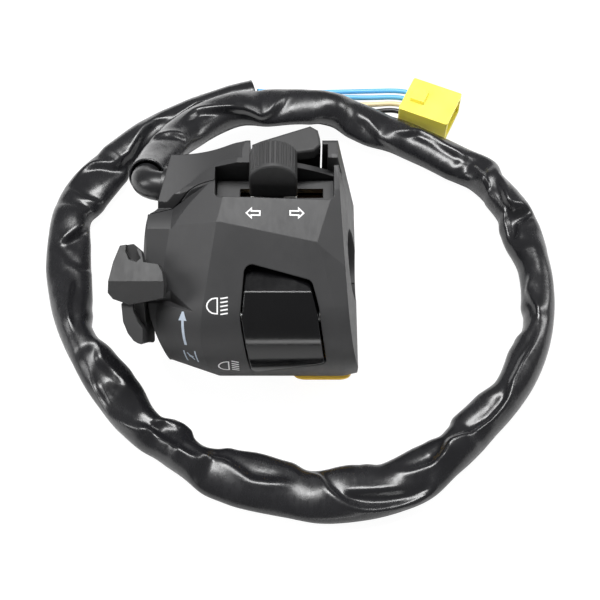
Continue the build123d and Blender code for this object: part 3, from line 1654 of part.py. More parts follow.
def connector_terminals():
    """One flat terminal blade in each cavity."""
    with BuildPart() as terminals:
        for slot in range(plug_ways):
            across = (slot - (plug_ways - 1) / 2) * plug_pitch
            spot = plug_point(plug_length / 2 - plug_mouth - terminal_length / 2, across, plug_wire_up)
            with BuildSketch(Plane(origin=spot, x_dir=plug_across, z_dir=plug_along)):
                Rectangle(terminal_width, terminal_width)
            extrude(amount=-terminal_length / 2)
            with BuildSketch(Plane(origin=spot, x_dir=plug_across, z_dir=plug_along)):
                Rectangle(terminal_width, terminal_width * terminal_blade_share)
            extrude(amount=terminal_length / 2 + plug_mouth / 2)
    return terminals.part


def save(part, name):
    """Write one sub-part under its name."""
    part.label = name
    export_step(part, f"parts/{name}.step")


save(rear_housing(), "rear_housing")
save(front_housing(), "front_housing")
save(housing_screws(), "housing_screws")
save(turn_knob(), "turn_knob")
save(turn_carriage(), "turn_carriage")
save(detent_ball(), "detent_ball")
save(detent_spring(), "detent_spring")
save(turn_bridge_contact(), "turn_bridge_contact")
save(turn_contact_board(), "turn_contact_board")
save(turn_fixed_contacts(), "turn_fixed_contacts")
save(turn_board_screws(), "turn_board_screws")
save(dimmer_rocker(), "dimmer_rocker")
save(dimmer_pivot_pin(), "dimmer_pivot_pin")
save(dimmer_plunger(), "dimmer_plunger")
save(dimmer_spring(), "dimmer_spring")
save(dimmer_bridge_contact(), "dimmer_bridge_contact")
save(dimmer_contact_board(), "dimmer_contact_board")
save(dimmer_fixed_contacts(), "dimmer_fixed_contacts")
save(dimmer_board_screws(), "dimmer_board_screws")
save(pass_trigger(), "pass_trigger")
save(pass_pivot_pin(), "pass_pivot_pin")
save(pass_spring(), "pass_spring")
save(pass_moving_contact(), "pass_moving_contact")
save(pass_contact_base(), "pass_contact_base")
save(pass_fixed_contact(), "pass_fixed_contact")
save(horn_button(), "horn_button")
save(horn_contact_disc(), "horn_contact_disc")
save(horn_contact_base(), "horn_contact_base")
save(horn_fixed_contacts(), "horn_fixed_contacts")
save(horn_base_screws(), "horn_base_screws")
save(horn_spring(), "horn_spring")
save(choke_lever(), "choke_lever")
save(friction_washer(), "friction_washer")
save(cable_grommet(), "cable_grommet")
save(switch_leads(), "switch_leads")
save(harness_sleeve(), "harness_sleeve")
save(connector_housing(), "connector_housing")
save(connector_terminals(), "connector_terminals")
for name in wire_routes:
    save(plug_wires(name), name)
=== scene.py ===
"""Left-hand handlebar switch cluster with its wiring harness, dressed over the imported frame."""
import math
import random

import bmesh
import bpy
from mathutils import Matrix, Vector
from mathutils.bvhtree import BVHTree


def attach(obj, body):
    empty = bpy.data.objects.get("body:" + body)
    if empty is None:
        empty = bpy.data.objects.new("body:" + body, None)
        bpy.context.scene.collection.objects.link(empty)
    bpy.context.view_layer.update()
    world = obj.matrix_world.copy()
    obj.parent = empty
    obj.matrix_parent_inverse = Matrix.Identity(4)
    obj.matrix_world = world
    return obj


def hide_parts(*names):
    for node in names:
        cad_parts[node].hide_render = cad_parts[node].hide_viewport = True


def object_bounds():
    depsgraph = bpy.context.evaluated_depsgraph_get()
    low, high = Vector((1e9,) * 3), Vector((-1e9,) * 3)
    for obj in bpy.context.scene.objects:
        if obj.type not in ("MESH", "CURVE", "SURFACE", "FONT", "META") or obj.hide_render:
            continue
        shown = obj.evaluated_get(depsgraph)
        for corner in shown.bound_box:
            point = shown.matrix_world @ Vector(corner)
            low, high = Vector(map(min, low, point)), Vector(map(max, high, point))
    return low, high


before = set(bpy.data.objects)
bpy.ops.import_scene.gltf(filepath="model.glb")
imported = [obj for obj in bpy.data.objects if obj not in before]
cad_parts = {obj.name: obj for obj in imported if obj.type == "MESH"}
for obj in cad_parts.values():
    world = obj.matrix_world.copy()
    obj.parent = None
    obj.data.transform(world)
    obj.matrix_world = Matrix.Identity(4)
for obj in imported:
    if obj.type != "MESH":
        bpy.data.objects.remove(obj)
cad_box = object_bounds()
mm = 0.001


# Camera and studio. The camera looks down at the rider's side of the cluster from 60 degrees above the
# table; a long lens keeps the perspective of the photograph.
camera_data = bpy.data.cameras.new("camera")
camera_data.lens = 70.0
camera_data.sensor_width = 36.0
camera_data.clip_start = 0.01
camera = bpy.data.objects.new("camera", camera_data)
camera.location = (0.0155, -0.1904, 0.3081)
camera.rotation_euler = (math.radians(30.0), 0.0, 0.0)
bpy.context.scene.collection.objects.link(camera)
bpy.context.scene.camera = camera
bpy.context.scene.view_settings.view_transform = "Standard"


def softbox(name, place, aim, size, power):
    """A rectangular area lamp of a power in watts that looks from one place at another."""
    data = bpy.data.lights.new(name, "AREA")
    data.shape = "RECTANGLE"
    data.size, data.size_y = size
    data.energy = power
    lamp = bpy.data.objects.new(name, data)
    lamp.location = place
    lamp.rotation_euler = (Vector(place) - Vector(aim)).to_track_quat("Z", "Y").to_euler()
    bpy.context.scene.collection.objects.link(lamp)


softbox("softbox_top", (-0.06, 0.16, 0.72), (0, 0, 0), (0.6, 0.2), 7.6)
softbox("softbox_left", (-0.7, -0.1, 0.42), (0, 0, 0), (0.2, 0.5), 2.6)
softbox("softbox_right", (0.65, 0.25, 0.4), (0, 0, 0), (0.15, 0.45), 2.2)
softbox("softbox_front", (0.14, -0.6, 0.05), (0.01, -0.03, -0.01), (0.5, 0.06), 0.4)

# The white surroundings show in full to the camera and through clear things; they light the cluster and
# shine in its glossy faces only faintly.
surroundings_light = 0.12
surroundings_shine = 0.12
world = bpy.data.worlds.new("studio")
bpy.context.scene.world = world
world.use_nodes = True
tree = world.node_tree
background = tree.nodes["Background"]
background.inputs["Color"].default_value = (1.0, 1.0, 1.0, 1.0)
seen = tree.nodes.new("ShaderNodeLightPath")
mirrored = tree.nodes.new("ShaderNodeMath")
mirrored.operation = "MULTIPLY_ADD"
mirrored.inputs[1].default_value = surroundings_shine
through = tree.nodes.new("ShaderNodeMath")
through.operation = "MAXIMUM"
level = tree.nodes.new("ShaderNodeMapRange")
level.inputs["To Min"].default_value = surroundings_light
level.inputs["To Max"].default_value = 1.0
tree.links.new(seen.outputs["Is Camera Ray"], through.inputs[0])
tree.links.new(seen.outputs["Is Transmission Ray"], through.inputs[1])
tree.links.new(seen.outputs["Is Glossy Ray"], mirrored.inputs[0])
tree.links.new(through.outputs["Value"], mirrored.inputs[2])
tree.links.new(mirrored.outputs["Value"], level.inputs["Value"])
tree.links.new(level.outputs["Result"], background.inputs["Strength"])

floor_half = 3.0
floor_gap = 0.02 * mm
floor_shape = bmesh.new()
bmesh.ops.create_grid(floor_shape, x_segments=1, y_segments=1, size=floor_half)
bmesh.ops.translate(floor_shape, verts=floor_shape.verts, vec=(0, 0, cad_box[0][2] - floor_gap))
floor_mesh = bpy.data.meshes.new("floor")
floor_shape.to_mesh(floor_mesh)
floor_shape.free()
floor = bpy.data.objects.new("floor", floor_mesh)
bpy.context.scene.collection.objects.link(floor)
paper_glow = 1.12
paper_glow_share = 0.86
paper = bpy.data.materials.new("paper")
paper.use_nodes = True
tree = paper.node_tree
shader = tree.nodes["Principled BSDF"]
shader.inputs["Base Color"].default_value = (0.9, 0.9, 0.9, 1.0)
shader.inputs["Roughness"].default_value = 0.8
shader.inputs["Specular IOR Level"].default_value = 0.0
glow = tree.nodes.new("ShaderNodeEmission")
glow.inputs["Color"].default_value = (1.0, 1.0, 1.0, 1.0)
glow.inputs["Strength"].default_value = paper_glow
blend = tree.nodes.new("ShaderNodeMixShader")
seen = tree.nodes.new("ShaderNodeLightPath")
share = tree.nodes.new("ShaderNodeMath")
share.operation = "MULTIPLY"
share.inputs[1].default_value = paper_glow_share
tree.links.new(seen.outputs["Is Camera Ray"], share.inputs[0])
tree.links.new(share.outputs["Value"], blend.inputs["Fac"])
tree.links.new(shader.outputs["BSDF"], blend.inputs[1])
tree.links.new(glow.outputs["Emission"], blend.inputs[2])
tree.links.new(blend.outputs["Shader"], tree.nodes["Material Output"].inputs["Surface"])
floor_mesh.materials.append(paper)


# Harness sleeve. A soft black vinyl tube of about 12 mm with the wires loose inside. It is pushed over
# the rubber elbow, lies round the switch in one loop, and is flattened and creased where it was folded
# for its bag.
sleeve_route = (
    (-0.0324956, 0.0264464, 0.0097386), (-0.031576, 0.035646, 0.003069), (-0.0292, 0.046, -0.0026),
    (-0.0246, 0.0566, -0.0072), (-0.017, 0.0639, -0.0096), (-0.007, 0.0693, -0.0106),
    (0.0042, 0.0724, -0.0114), (0.0156, 0.0746, -0.0124), (0.0274, 0.0746, -0.0152),
    (0.0402, 0.0706, -0.0186), (0.0536, 0.0636, -0.0204), (0.0674, 0.0566, -0.0204),
    (0.0776, 0.049, -0.0204), (0.0854, 0.0364, -0.0204), (0.0902, 0.0244, -0.0204),
    (0.0934, 0.0094, -0.0204), (0.0918, -0.0064, -0.0204), (0.0876, -0.0224, -0.0204),
    (0.0788, -0.0372, -0.0204), (0.0674, -0.049, -0.0204), (0.0534, -0.0596, -0.0204),
    (0.0376, -0.0666, -0.0204), (0.0202, -0.0678, -0.0204), (0.0032, -0.064, -0.0204),
    (-0.013, -0.0588, -0.0204), (-0.0272, -0.0494, -0.0204), (-0.0394, -0.0364, -0.0204),
    (-0.0508, -0.0228, -0.0204), (-0.0586, -0.0084, -0.0204), (-0.0612, 0.0084, -0.0204),
    (-0.0626, 0.0246, -0.0204), (-0.0602, 0.0386, -0.0204), (-0.0524, 0.0512, -0.0204),
    (-0.0434, 0.0624, -0.0204), (-0.0296, 0.0726, -0.0204), (-0.0152, 0.0806, -0.0204),
    (-0.0008, 0.0844, -0.0204),
)


def cord_curve(name, route, radius=0.0):
    """A smooth spline whose control points are the route's points."""
    data = bpy.data.curves.new(name, "CURVE")
    data.dimensions = "3D"
    data.resolution_u = 16
    data.bevel_depth = radius
    data.bevel_resolution = 5
    data.use_fill_caps = radius > 0
    spline = data.splines.new("NURBS")
    spline.points.add(len(route) - 1)
    for point, place in zip(spline.points, route):
        point.co = (*place, 1.0)
    spline.order_u = 3
    spline.use_endpoint_u = True
    return bpy.data.objects.new(name, data)


sleeve_guide = cord_curve("sleeve_guide", sleeve_route)
guide_mesh = bpy.data.meshes.new_from_object(sleeve_guide)
sleeve_path = [v.co.copy() for v in guide_mesh.vertices]
bpy.data.objects.remove(sleeve_guide)
sleeve_marks = [0.0]
for before, after in zip(sleeve_path, sleeve_path[1:]):
    sleeve_marks.append(sleeve_marks[-1] + (after - before).length)
sleeve_length = sleeve_marks[-1]

# Half widths of the flattened tube towards the middle of the loop and away from it, in mm, at their turning
# points along it; the wrinkled inner side swells between the places where it is pinched.
inner_half = (
    (0, 6.0), (30, 6.2), (38, 6.5), (58, 4.6), (70, 7.3), (84, 7.4), (90, 6.5), (94, 6.3), (102, 8.0),
    (108, 8.2), (120, 6.0), (140, 6.8), (152, 4.6), (158, 4.2), (160, 4.8), (168, 4.6), (174, 6.3),
    (180, 6.8), (192, 5.2), (206, 5.0), (210, 3.7), (214, 3.5), (216, 3.7), (220, 5.3), (226, 6.1),
    (238, 5.5), (248, 7.7), (258, 8.0), (262, 6.4), (266, 5.9), (270, 7.1), (276, 7.8), (288, 7.5),
    (294, 9.1), (300, 9.7), (314, 7.7), (320, 9.3), (330, 10.0), (340, 8.8), (348, 5.0), (352, 5.2),
    (356, 7.1), (360, 7.5), (362, 7.1), (366, 4.7), (368, 4.7), (382, 7.5), (388, 8.1), (396, 7.4),
    (404, 5.3), (408, 5.3), (414, 7.0), (422, 7.8), (442, 7.7), (454, 6.1), (462, 8.3), (468, 8.5),
    (478, 8.2), (482, 6.5), (486, 6.7), (539, 6.0),
)
outer_half = (
    (0, 6.0), (68, 8.0), (92, 6.3), (98, 7.2), (138, 7.2), (142, 7.4), (148, 9.4), (150, 9.4), (156, 6.3),
    (172, 7.8), (190, 5.5), (214, 6.0), (218, 5.9), (250, 5.1), (268, 6.4), (280, 8.2), (296, 7.9),
    (310, 8.4), (318, 7.9), (332, 8.6), (340, 8.1), (352, 6.1), (358, 5.9), (366, 7.1), (374, 7.3),
    (410, 5.2), (436, 7.2), (448, 7.1), (466, 8.2), (492, 5.4), (522, 4.8), (539, 6.0),
)
# Folds of the vinyl, each a line of (mm along the sleeve, degrees from its top towards the inner side). The
# panel left of the line stands above the one right of it, by the step in mm that comes first.
folds = (
    (1.3, (450.5, 72), (444.5, 18), (441, -11)),
    (0.9, (441, -17), (434.5, 3), (431, 40), (432.5, 97)),
    (0.9, (464, -49), (461.5, 12), (463, 67)),
    (1.4, (505, 22), (500, 5), (495, 14), (490, 31), (484.5, 49), (480.5, 42), (477, 18), (474, -22),
     (470.5, -40), (465, -36)),
    (1.3, (78, -14), (75, 0), (70, 42), (65.5, 64), (57.5, 45), (50.5, 12), (44, -16), (37.5, -4),
     (31.5, 10)),
    (1.0, (30, 53), (27.5, 20), (24.5, -15), (22, -58)),
    (1.0, (120.5, 85), (110, 36), (101.5, 3)),
    (1.0, (146.5, -12), (141.5, -1), (135.5, -2), (129.5, -14), (124.5, -15), (121, 10), (115, 25)),
    (1.5, (146.5, -12), (150.5, 0), (156, 22), (158.5, 50)),
    (1.5, (171, -64), (170, 5), (166.5, 20), (162, 5), (154, -36)),
    (1.1, (168, 34), (173.5, 35), (180.5, 50)),
    (1.2, (181, 39), (175.5, 10), (172, -64)),
    (1.0, (213, -3), (209, 22), (202, 58), (195, 34)),
    (1.2, (286.5, 41), (281.5, 11), (275, 1), (270.5, 4), (266, 26), (260, 3), (252, -13), (244, -11),
     (237.5, 14), (230, 17), (219.5, -2), (213.5, -3)),
    (1.5, (313.5, 69), (309, 37), (306.5, 7), (302, -22), (296.5, -42), (290.5, -52), (284, -59),
     (279, -52), (273, -1)),
    (0.9, (283.5, -35), (292.5, -18), (303.5, -3)),
    (1.2, (348, 24), (339, 23), (330, 1), (324.5, 6), (317, 18)),
    (1.2, (394, -7), (388.5, -35), (377.5, -50), (369.5, -32), (363.5, -7), (356.5, -3), (349.5, -4),
     (345.5, 4)),
    (0.9, (350.5, 50), (357, 73), (359.5, 32), (365, 29)),
    (0.8, (381.5, 25), (386.5, 14), (394, 6), (402.5, 39)),
    (0.8, (428, 20), (418, 8), (406, -4)),
    (0.9, (520, 12), (512, 26), (503, 40)),
)
# The round tube's radius and its half height where it lies flattest, in mm. A fold is sharp at its edge, its
# panels fade away on both sides, and a low bead runs along the upper one.
sleeve_round = 6.0
sleeve_flattest = 4.2
fold_reach = 14.0
fold_edge = 0.5
upper_fade = 4.5
lower_fade = 3.2
bead_rise_share = 0.35
bead_place = 1.0
bead_width = 0.7
fold_taper_share = 0.2
random.seed(11)
facet_rows = 62
facet_columns = 7
facet_rise = 0.3
just_inside = 1e-3
facets = [[random.uniform(-1.0, 0.7) for _ in range(facet_columns)] for _ in range(facet_rows + 2)]


def between(table, s):
    """The value of a table of turning points at a length along the sleeve, eased between them."""
    for (s0, v0), (s1, v1) in zip(table, table[1:]):
        if s <= s1:
            t = (s - s0) / (s1 - s0)
            return v0 + (v1 - v0) * t * t * (3 - 2 * t)
    return table[-1][1]


def facet_level(s, turn):
    """Flat triangular facets on a staggered lattice, as thin vinyl buckles."""
    row = min(s / (sleeve_length / mm) * facet_rows, facet_rows - just_inside)
    i, t = int(row), row % 1.0
    x = turn * facet_columns - 0.5 * (i % 2)
    k = math.floor(x)
    f = x - k
    shift = 0 if i % 2 == 0 else 1
    low = facets[i]
    high = facets[i + 1]
    if f < 0.5 * t:
        weights = ((low, k, 1 - t), (high, k + shift, f + 0.5 * t), (high, k + shift - 1, 0.5 * t - f))
    elif f > 1 - 0.5 * t:
        weights = ((low, k + 1, 1 - t), (high, k + shift, 1 - f + 0.5 * t),
                   (high, k + shift + 1, f - 1 + 0.5 * t))
    else:
        weights = ((high, k + shift, t), (low, k + 1, f - 0.5 * t), (low, k, 1 - t - f + 0.5 * t))
    return sum(levels[n % facet_columns] * weight for levels, n, weight in weights)


def fold_level(s, angle):
    """Height of the folded panels over the plain tube, in mm."""
    y = math.radians(angle) * sleeve_round
    total = 0.0
    for step, *line in folds:
        if not min(p[0] for p in line) - fold_reach < s < max(p[0] for p in line) + fold_reach:
            continue
        near = None
        runs = len(line) - 1
        for n, ((s0, a0), (s1, a1)) in enumerate(zip(line, line[1:])):
            y0, y1 = math.radians(a0) * sleeve_round, math.radians(a1) * sleeve_round
            ds, dy = s1 - s0, y1 - y0
            t = max(0.0, min(1.0, ((s - s0) * ds + (y - y0) * dy) / (ds * ds + dy * dy)))
            es, ey = s - s0 - t * ds, y - y0 - t * dy
            away = math.hypot(es, ey)
            if near is None or away < near[0]:
                near = (away, ds * ey - dy * es, (n + t) / runs)
        away, turned, share = near
        fade = min(1.0, share / fold_taper_share, (1 - share) / fold_taper_share)
        if turned > 0:
            bead = bead_rise_share * math.exp(-((away - bead_place) / bead_width) ** 2)
            rise = math.exp(-away / upper_fade) * math.tanh(away / fold_edge) + bead
        else:
            rise = -math.exp(-away / lower_fade) * math.tanh(away / fold_edge)
        total += step * fade * rise
    return total


sleeve_rings = 560
sleeve_sides = 56
plain_start = 1.0
plain_end = 0.5
steps_ahead = 4
steps_back = 3
sideways_share = 0.6
settle_share = 0.8
table_gap = 0.05 * mm
sleeve_shape = bmesh.new()
bmesh.ops.create_grid(sleeve_shape, x_segments=sleeve_rings, y_segments=sleeve_sides, size=0.5)
mark = 0
for vert in sorted(sleeve_shape.verts, key=lambda v: v.co.x):
    length = (vert.co.x + 0.5) * sleeve_length
    turn = vert.co.y + 0.5
    while mark < len(sleeve_marks) - 2 and sleeve_marks[mark + 1] < length:
        mark += 1
    part = (length - sleeve_marks[mark]) / (sleeve_marks[mark + 1] - sleeve_marks[mark])
    middle = sleeve_path[mark].lerp(sleeve_path[mark + 1], part)
    front = sleeve_path[min(mark + steps_ahead, len(sleeve_path) - 1)]
    rear = sleeve_path[max(mark - steps_back, 0)]
    ahead = (front - rear).normalized()
    inward = ahead.cross(Vector((0, 0, 1))).normalized()
    upward = inward.cross(ahead)
    s = length / mm
    angle = (turn - 0.5) * 360.0
    wide_in, wide_out = between(inner_half, s), between(outer_half, s)
    wide = wide_in if angle > 0 else wide_out
    even_girth = math.sqrt(max(0.0, 2 * sleeve_round ** 2 - ((wide_in + wide_out) / 2) ** 2))
    tall = min(sleeve_round, max(sleeve_flattest, even_girth))
    lift = 0.0
    if plain_start < s < sleeve_length / mm - plain_end:
        lift = facet_rise * facet_level(s, turn) + fold_level(s, angle)
    across = math.sin(math.radians(angle)) * (wide + sideways_share * lift)
    up = math.cos(math.radians(angle)) * (tall + lift) - settle_share * (sleeve_round - tall)
    place = middle + inward * across * mm + upward * up * mm
    place.z = max(place.z, cad_box[0][2] + table_gap)
    vert.co = place
weld_gap = 1e-6
bmesh.ops.remove_doubles(sleeve_shape, verts=sleeve_shape.verts, dist=weld_gap)
smoothings = 2
smoothing_share = 0.4
for _ in range(smoothings):
    bmesh.ops.smooth_vert(sleeve_shape, verts=sleeve_shape.verts, factor=smoothing_share, use_axis_x=True,
                          use_axis_y=True, use_axis_z=True)
mouth_reach = 12 * mm
mouth_share = 0.9
mouth_steps = 12
rims = [e for e in sleeve_shape.edges if e.is_boundary]
wall = bmesh.ops.extrude_edge_only(sleeve_shape, edges=rims)
lip = [v for v in wall["geom"] if isinstance(v, bmesh.types.BMVert)]
for end in (sleeve_path[0], sleeve_path[-1]):
    ring = [v for v in lip if (v.co - end).length < mouth_reach]
    centre = sum((v.co for v in ring), Vector()) / len(ring)
    bmesh.ops.scale(sleeve_shape, verts=ring, vec=(mouth_share,) * 3, space=Matrix.Translation(-centre))
rims = [e for e in wall["geom"] if isinstance(e, bmesh.types.BMEdge)]
deep = bmesh.ops.extrude_edge_only(sleeve_shape, edges=rims)
lip = [v for v in deep["geom"] if isinstance(v, bmesh.types.BMVert)]
mouths = ((sleeve_path[0], sleeve_path[mouth_steps]), (sleeve_path[-1], sleeve_path[-2 - mouth_steps]))
for end, back in mouths:
    ring = [v for v in lip if (v.co - end).length < mouth_reach]
    bmesh.ops.translate(sleeve_shape, verts=ring, vec=back - end)
    bmesh.ops.contextual_create(sleeve_shape, geom=ring + [e for e in sleeve_shape.edges
                                                           if e.verts[0] in ring and e.verts[1] in ring])
bmesh.ops.recalc_face_normals(sleeve_shape, faces=sleeve_shape.faces)


def finished(name, shape, smooth=True):
    """The bmesh as an object of the scene, at the origin."""
    data = bpy.data.meshes.new(name)
    shape.to_mesh(data)
    shape.free()
    if smooth:
        data.shade_smooth()
    piece = bpy.data.objects.new(name, data)
    bpy.context.scene.collection.objects.link(piece)
    return piece


sleeve = finished("harness_sleeve_skin", sleeve_shape)


def effect(name, inputs, outputs):
    """An empty node group that reads object coordinates, with its sockets made."""
    group = bpy.data.node_groups.new(name, "ShaderNodeTree")
    for label, value in inputs.items():
        socket = group.interface.new_socket(label, in_out="INPUT", socket_type="NodeSocketFloat")
        socket.default_value = value
    for label in outputs:
        group.interface.new_socket(label, in_out="OUTPUT", socket_type="NodeSocketFloat")
    start = group.nodes.new("NodeGroupInput")
    end = group.nodes.new("NodeGroupOutput")
    place = group.nodes.new("ShaderNodeTexCoord")
    return group, start, end, place


def noise_in(group, place, scale, detail, roughness=0.5, stretch=None):
    """A noise texture in a group on object coordinates, its scale from a socket or a number."""
    noise = group.nodes.new("ShaderNodeTexNoise")
    noise.inputs["Detail"].default_value = detail
    noise.inputs["Roughness"].default_value = roughness
    if isinstance(scale, (int, float)):
        noise.inputs["Scale"].default_value = scale
    else:
        group.links.new(scale, noise.inputs["Scale"])
    vector = place.outputs["Object"]
    if stretch:
        mapping = group.nodes.new("ShaderNodeMapping")
        mapping.inputs["Scale"].default_value = stretch
        group.links.new(vector, mapping.inputs["Vector"])
        vector = mapping.outputs["Vector"]
    group.links.new(vector, noise.inputs["Vector"])
    return noise


# Cloudy: slow changes of colour and gloss over a surface, and the faint smears that handling leaves.
cloudy, start, end, place = effect("cloudy", {"Patches": 120.0, "Smears": 700.0}, ("Tone", "Gloss"))
broad = noise_in(cloudy, place, start.outputs["Patches"], 3.0)
fine = noise_in(cloudy, place, start.outputs["Smears"], 4.0, 0.6, (1.0, 0.35, 0.6))
cloudy.links.new(broad.outputs["Fac"], end.inputs["Tone"])
smear_contrast = 3.0
both = cloudy.nodes.new("ShaderNodeMath")
both.operation = "MULTIPLY"
cloudy.links.new(broad.outputs["Fac"], both.inputs[0])
cloudy.links.new(fine.outputs["Fac"], both.inputs[1])
lifted = cloudy.nodes.new("ShaderNodeMath")
lifted.operation = "MULTIPLY"
lifted.inputs[1].default_value = smear_contrast
lifted.use_clamp = True
cloudy.links.new(both.outputs["Value"], lifted.inputs[0])
cloudy.links.new(lifted.outputs["Value"], end.inputs["Gloss"])

# Moulded grain: the fine spark-eroded texture of the mould, with a few larger pits.
grain, start, end, place = effect("moulded_grain", {"Size": 3200.0, "Pits": 0.35}, ("Height",))
small = noise_in(grain, place, start.outputs["Size"], 4.0, 0.65)
cells = grain.nodes.new("ShaderNodeTexVoronoi")
grain.links.new(place.outputs["Object"], cells.inputs["Vector"])
grain.links.new(start.outputs["Size"], cells.inputs["Scale"])
weighed = grain.nodes.new("ShaderNodeMath")
weighed.operation = "MULTIPLY"
grain.links.new(cells.outputs["Distance"], weighed.inputs[0])
grain.links.new(start.outputs["Pits"], weighed.inputs[1])
joined = grain.nodes.new("ShaderNodeMath")
joined.operation = "ADD"
grain.links.new(small.outputs["Fac"], joined.inputs[0])
grain.links.new(weighed.outputs["Value"], joined.inputs[1])
grain.links.new(joined.outputs["Value"], end.inputs["Height"])


def surface(name, colour, worn, roughness, patches=120.0, grain_size=3200.0, depth=0.00002, strength=0.3,
            pits=0.35, edge=0.0, **sockets):
    """A finish whose colour goes from one tone to another in patches, with moulded grain in its surface."""
    material = bpy.data.materials.new(name)
    material.use_nodes = True
    nodes, links = material.node_tree.nodes, material.node_tree.links
    shader = nodes["Principled BSDF"]
    for label, value in sockets.items():
        shader.inputs[label.replace("_", " ")].default_value = value
    patched = nodes.new("ShaderNodeGroup")
    patched.node_tree = cloudy
    patched.inputs["Patches"].default_value = patches
    tone = nodes.new("ShaderNodeMix")
    tone.data_type = "RGBA"
    tone.inputs["A"].default_value = colour
    tone.inputs["B"].default_value = worn
    links.new(patched.outputs["Tone"], tone.inputs["Factor"])
    links.new(tone.outputs["Result"], shader.inputs["Base Color"])
    polish = nodes.new("ShaderNodeMapRange")
    polish.inputs["To Min"].default_value = roughness[0]
    polish.inputs["To Max"].default_value = roughness[1]
    links.new(patched.outputs["Gloss"], polish.inputs["Value"])
    links.new(polish.outputs["Result"], shader.inputs["Roughness"])
    grained = nodes.new("ShaderNodeGroup")
    grained.node_tree = grain
    grained.inputs["Size"].default_value = grain_size
    grained.inputs["Pits"].default_value = pits
    bump = nodes.new("ShaderNodeBump")
    bump.inputs["Strength"].default_value = strength
    bump.inputs["Distance"].default_value = depth
    links.new(grained.outputs["Height"], bump.inputs["Height"])
    if edge:
        rounded = nodes.new("ShaderNodeBevel")
        rounded.samples = 6
        rounded.inputs["Radius"].default_value = edge
        links.new(rounded.outputs["Normal"], bump.inputs["Normal"])
    links.new(bump.outputs["Normal"], shader.inputs["Normal"])
    return material


vinyl = surface("sleeve_vinyl", (0.0075, 0.0075, 0.0085, 1.0), (0.014, 0.014, 0.016, 1.0), (0.14, 0.3),
                patches=90.0, grain_size=420.0, depth=0.0003, strength=0.16, pits=0.1, IOR=1.52)
sleeve.data.materials.append(vinyl)
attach(sleeve, "housing")
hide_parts("harness_sleeve")


# Wires and their plug. Four thin PVC-covered wires, two light blue, one cream and one black, come out of
# the cut end of the sleeve, lie behind it and go into the back of a yellow nylon plug, where their
# terminals lock.
wire_thickness = 1.8 * mm
wire_runs = {
    "wire_blue_outer": ("wires_blue", 0.0570, (
        (-0.0002, 0.0866, -0.0214), (0.012, 0.0892, -0.0246), (0.0252, 0.0904, -0.0254),
        (0.04, 0.09, -0.0244), (0.05285, 0.08839, -0.022), (0.05558, 0.08716, -0.022)
    )),
    "wire_blue_inner": ("wires_blue", 0.0550, (
        (0.0002, 0.0852, -0.0186), (0.0126, 0.0872, -0.023), (0.0254, 0.0878, -0.0248),
        (0.04, 0.0866, -0.0242), (0.05153, 0.08547, -0.022), (0.05427, 0.08424, -0.022)
    )),
    "wire_cream_line": ("wire_cream", 0.0534, (
        (0.0006, 0.0834, -0.022), (0.0128, 0.0848, -0.0249), (0.0256, 0.085, -0.0255),
        (0.0404, 0.0834, -0.0243), (0.05022, 0.08255, -0.022), (0.05295, 0.08132, -0.022)
    )),
    "wire_black_line": ("wire_black", 0.0522, (
        (0.001, 0.0826, -0.0188), (0.0132, 0.0826, -0.0232), (0.026, 0.0822, -0.0254),
        (0.0404, 0.08, -0.0244), (0.0489, 0.07963, -0.022), (0.05164, 0.0784, -0.022)
    )),
}
wire_covers = {
    "wires_blue": surface("wire_light_blue", (0.10, 0.40, 0.72, 1.0), (0.14, 0.46, 0.76, 1.0), (0.25, 0.4),
                          grain_size=900.0, depth=0.00004),
    "wire_cream": surface("wire_cream_cover", (0.72, 0.60, 0.34, 1.0), (0.78, 0.66, 0.42, 1.0),
                          (0.25, 0.4), grain_size=900.0, depth=0.00004),
    "wire_black": surface("wire_black_cover", (0.012, 0.012, 0.013, 1.0), (0.02, 0.02, 0.02, 1.0),
                          (0.25, 0.4), grain_size=900.0, depth=0.00004),
}
for name, (node, length, route) in wire_runs.items():
    wire = cord_curve(name, route, wire_thickness / 2)
    bpy.context.scene.collection.objects.link(wire)
    wire.data.materials.append(wire_covers[node])
    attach(wire, "housing")
    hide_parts(node)


def dress(material, *nodes):
    """Gives CAD nodes their finish."""
    for node in nodes:
        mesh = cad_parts[node].data
        mesh.materials.clear()
        mesh.materials.append(material)


nylon = surface("plug_nylon", (0.97, 0.84, 0.09, 1.0), (0.98, 0.88, 0.14, 1.0), (0.28, 0.42),
                grain_size=1500.0, depth=0.00003, edge=0.00025, Subsurface_Weight=0.15,
                Subsurface_Radius=(0.003, 0.002, 0.0005), Subsurface_Scale=1.0)
dress(nylon, "connector_housing")
tin = surface("tinned_brass", (0.62, 0.60, 0.55, 1.0), (0.70, 0.66, 0.56, 1.0), (0.25, 0.45), patches=400.0,
              grain_size=2600.0, depth=0.00001, Metallic=1.0)
dress(tin, "connector_terminals")


# Housing halves. Two shells of glass-filled black nylon, clamped round the handlebar by three screws. Their
# moulds are spark eroded to a fine satin grain, and their facets meet in edges softened by the mould.
satin = surface("satin_nylon", (0.022, 0.022, 0.023, 1.0), (0.03, 0.03, 0.031, 1.0), (0.42, 0.56),
                patches=60.0, grain_size=3600.0, depth=0.00003, strength=0.35, edge=0.0004)
dress(satin, "rear_housing", "front_housing")
zinc = surface("zinc_plated_steel", (0.56, 0.57, 0.58, 1.0), (0.66, 0.66, 0.64, 1.0), (0.22, 0.42),
               patches=500.0, grain_size=2400.0, depth=0.00001, Metallic=1.0)
dress(zinc, "housing_screws", "turn_board_screws", "dimmer_board_screws", "horn_base_screws", "detent_ball",
      "detent_spring", "dimmer_spring", "dimmer_pivot_pin", "pass_pivot_pin", "pass_spring", "horn_spring",
      "friction_washer")


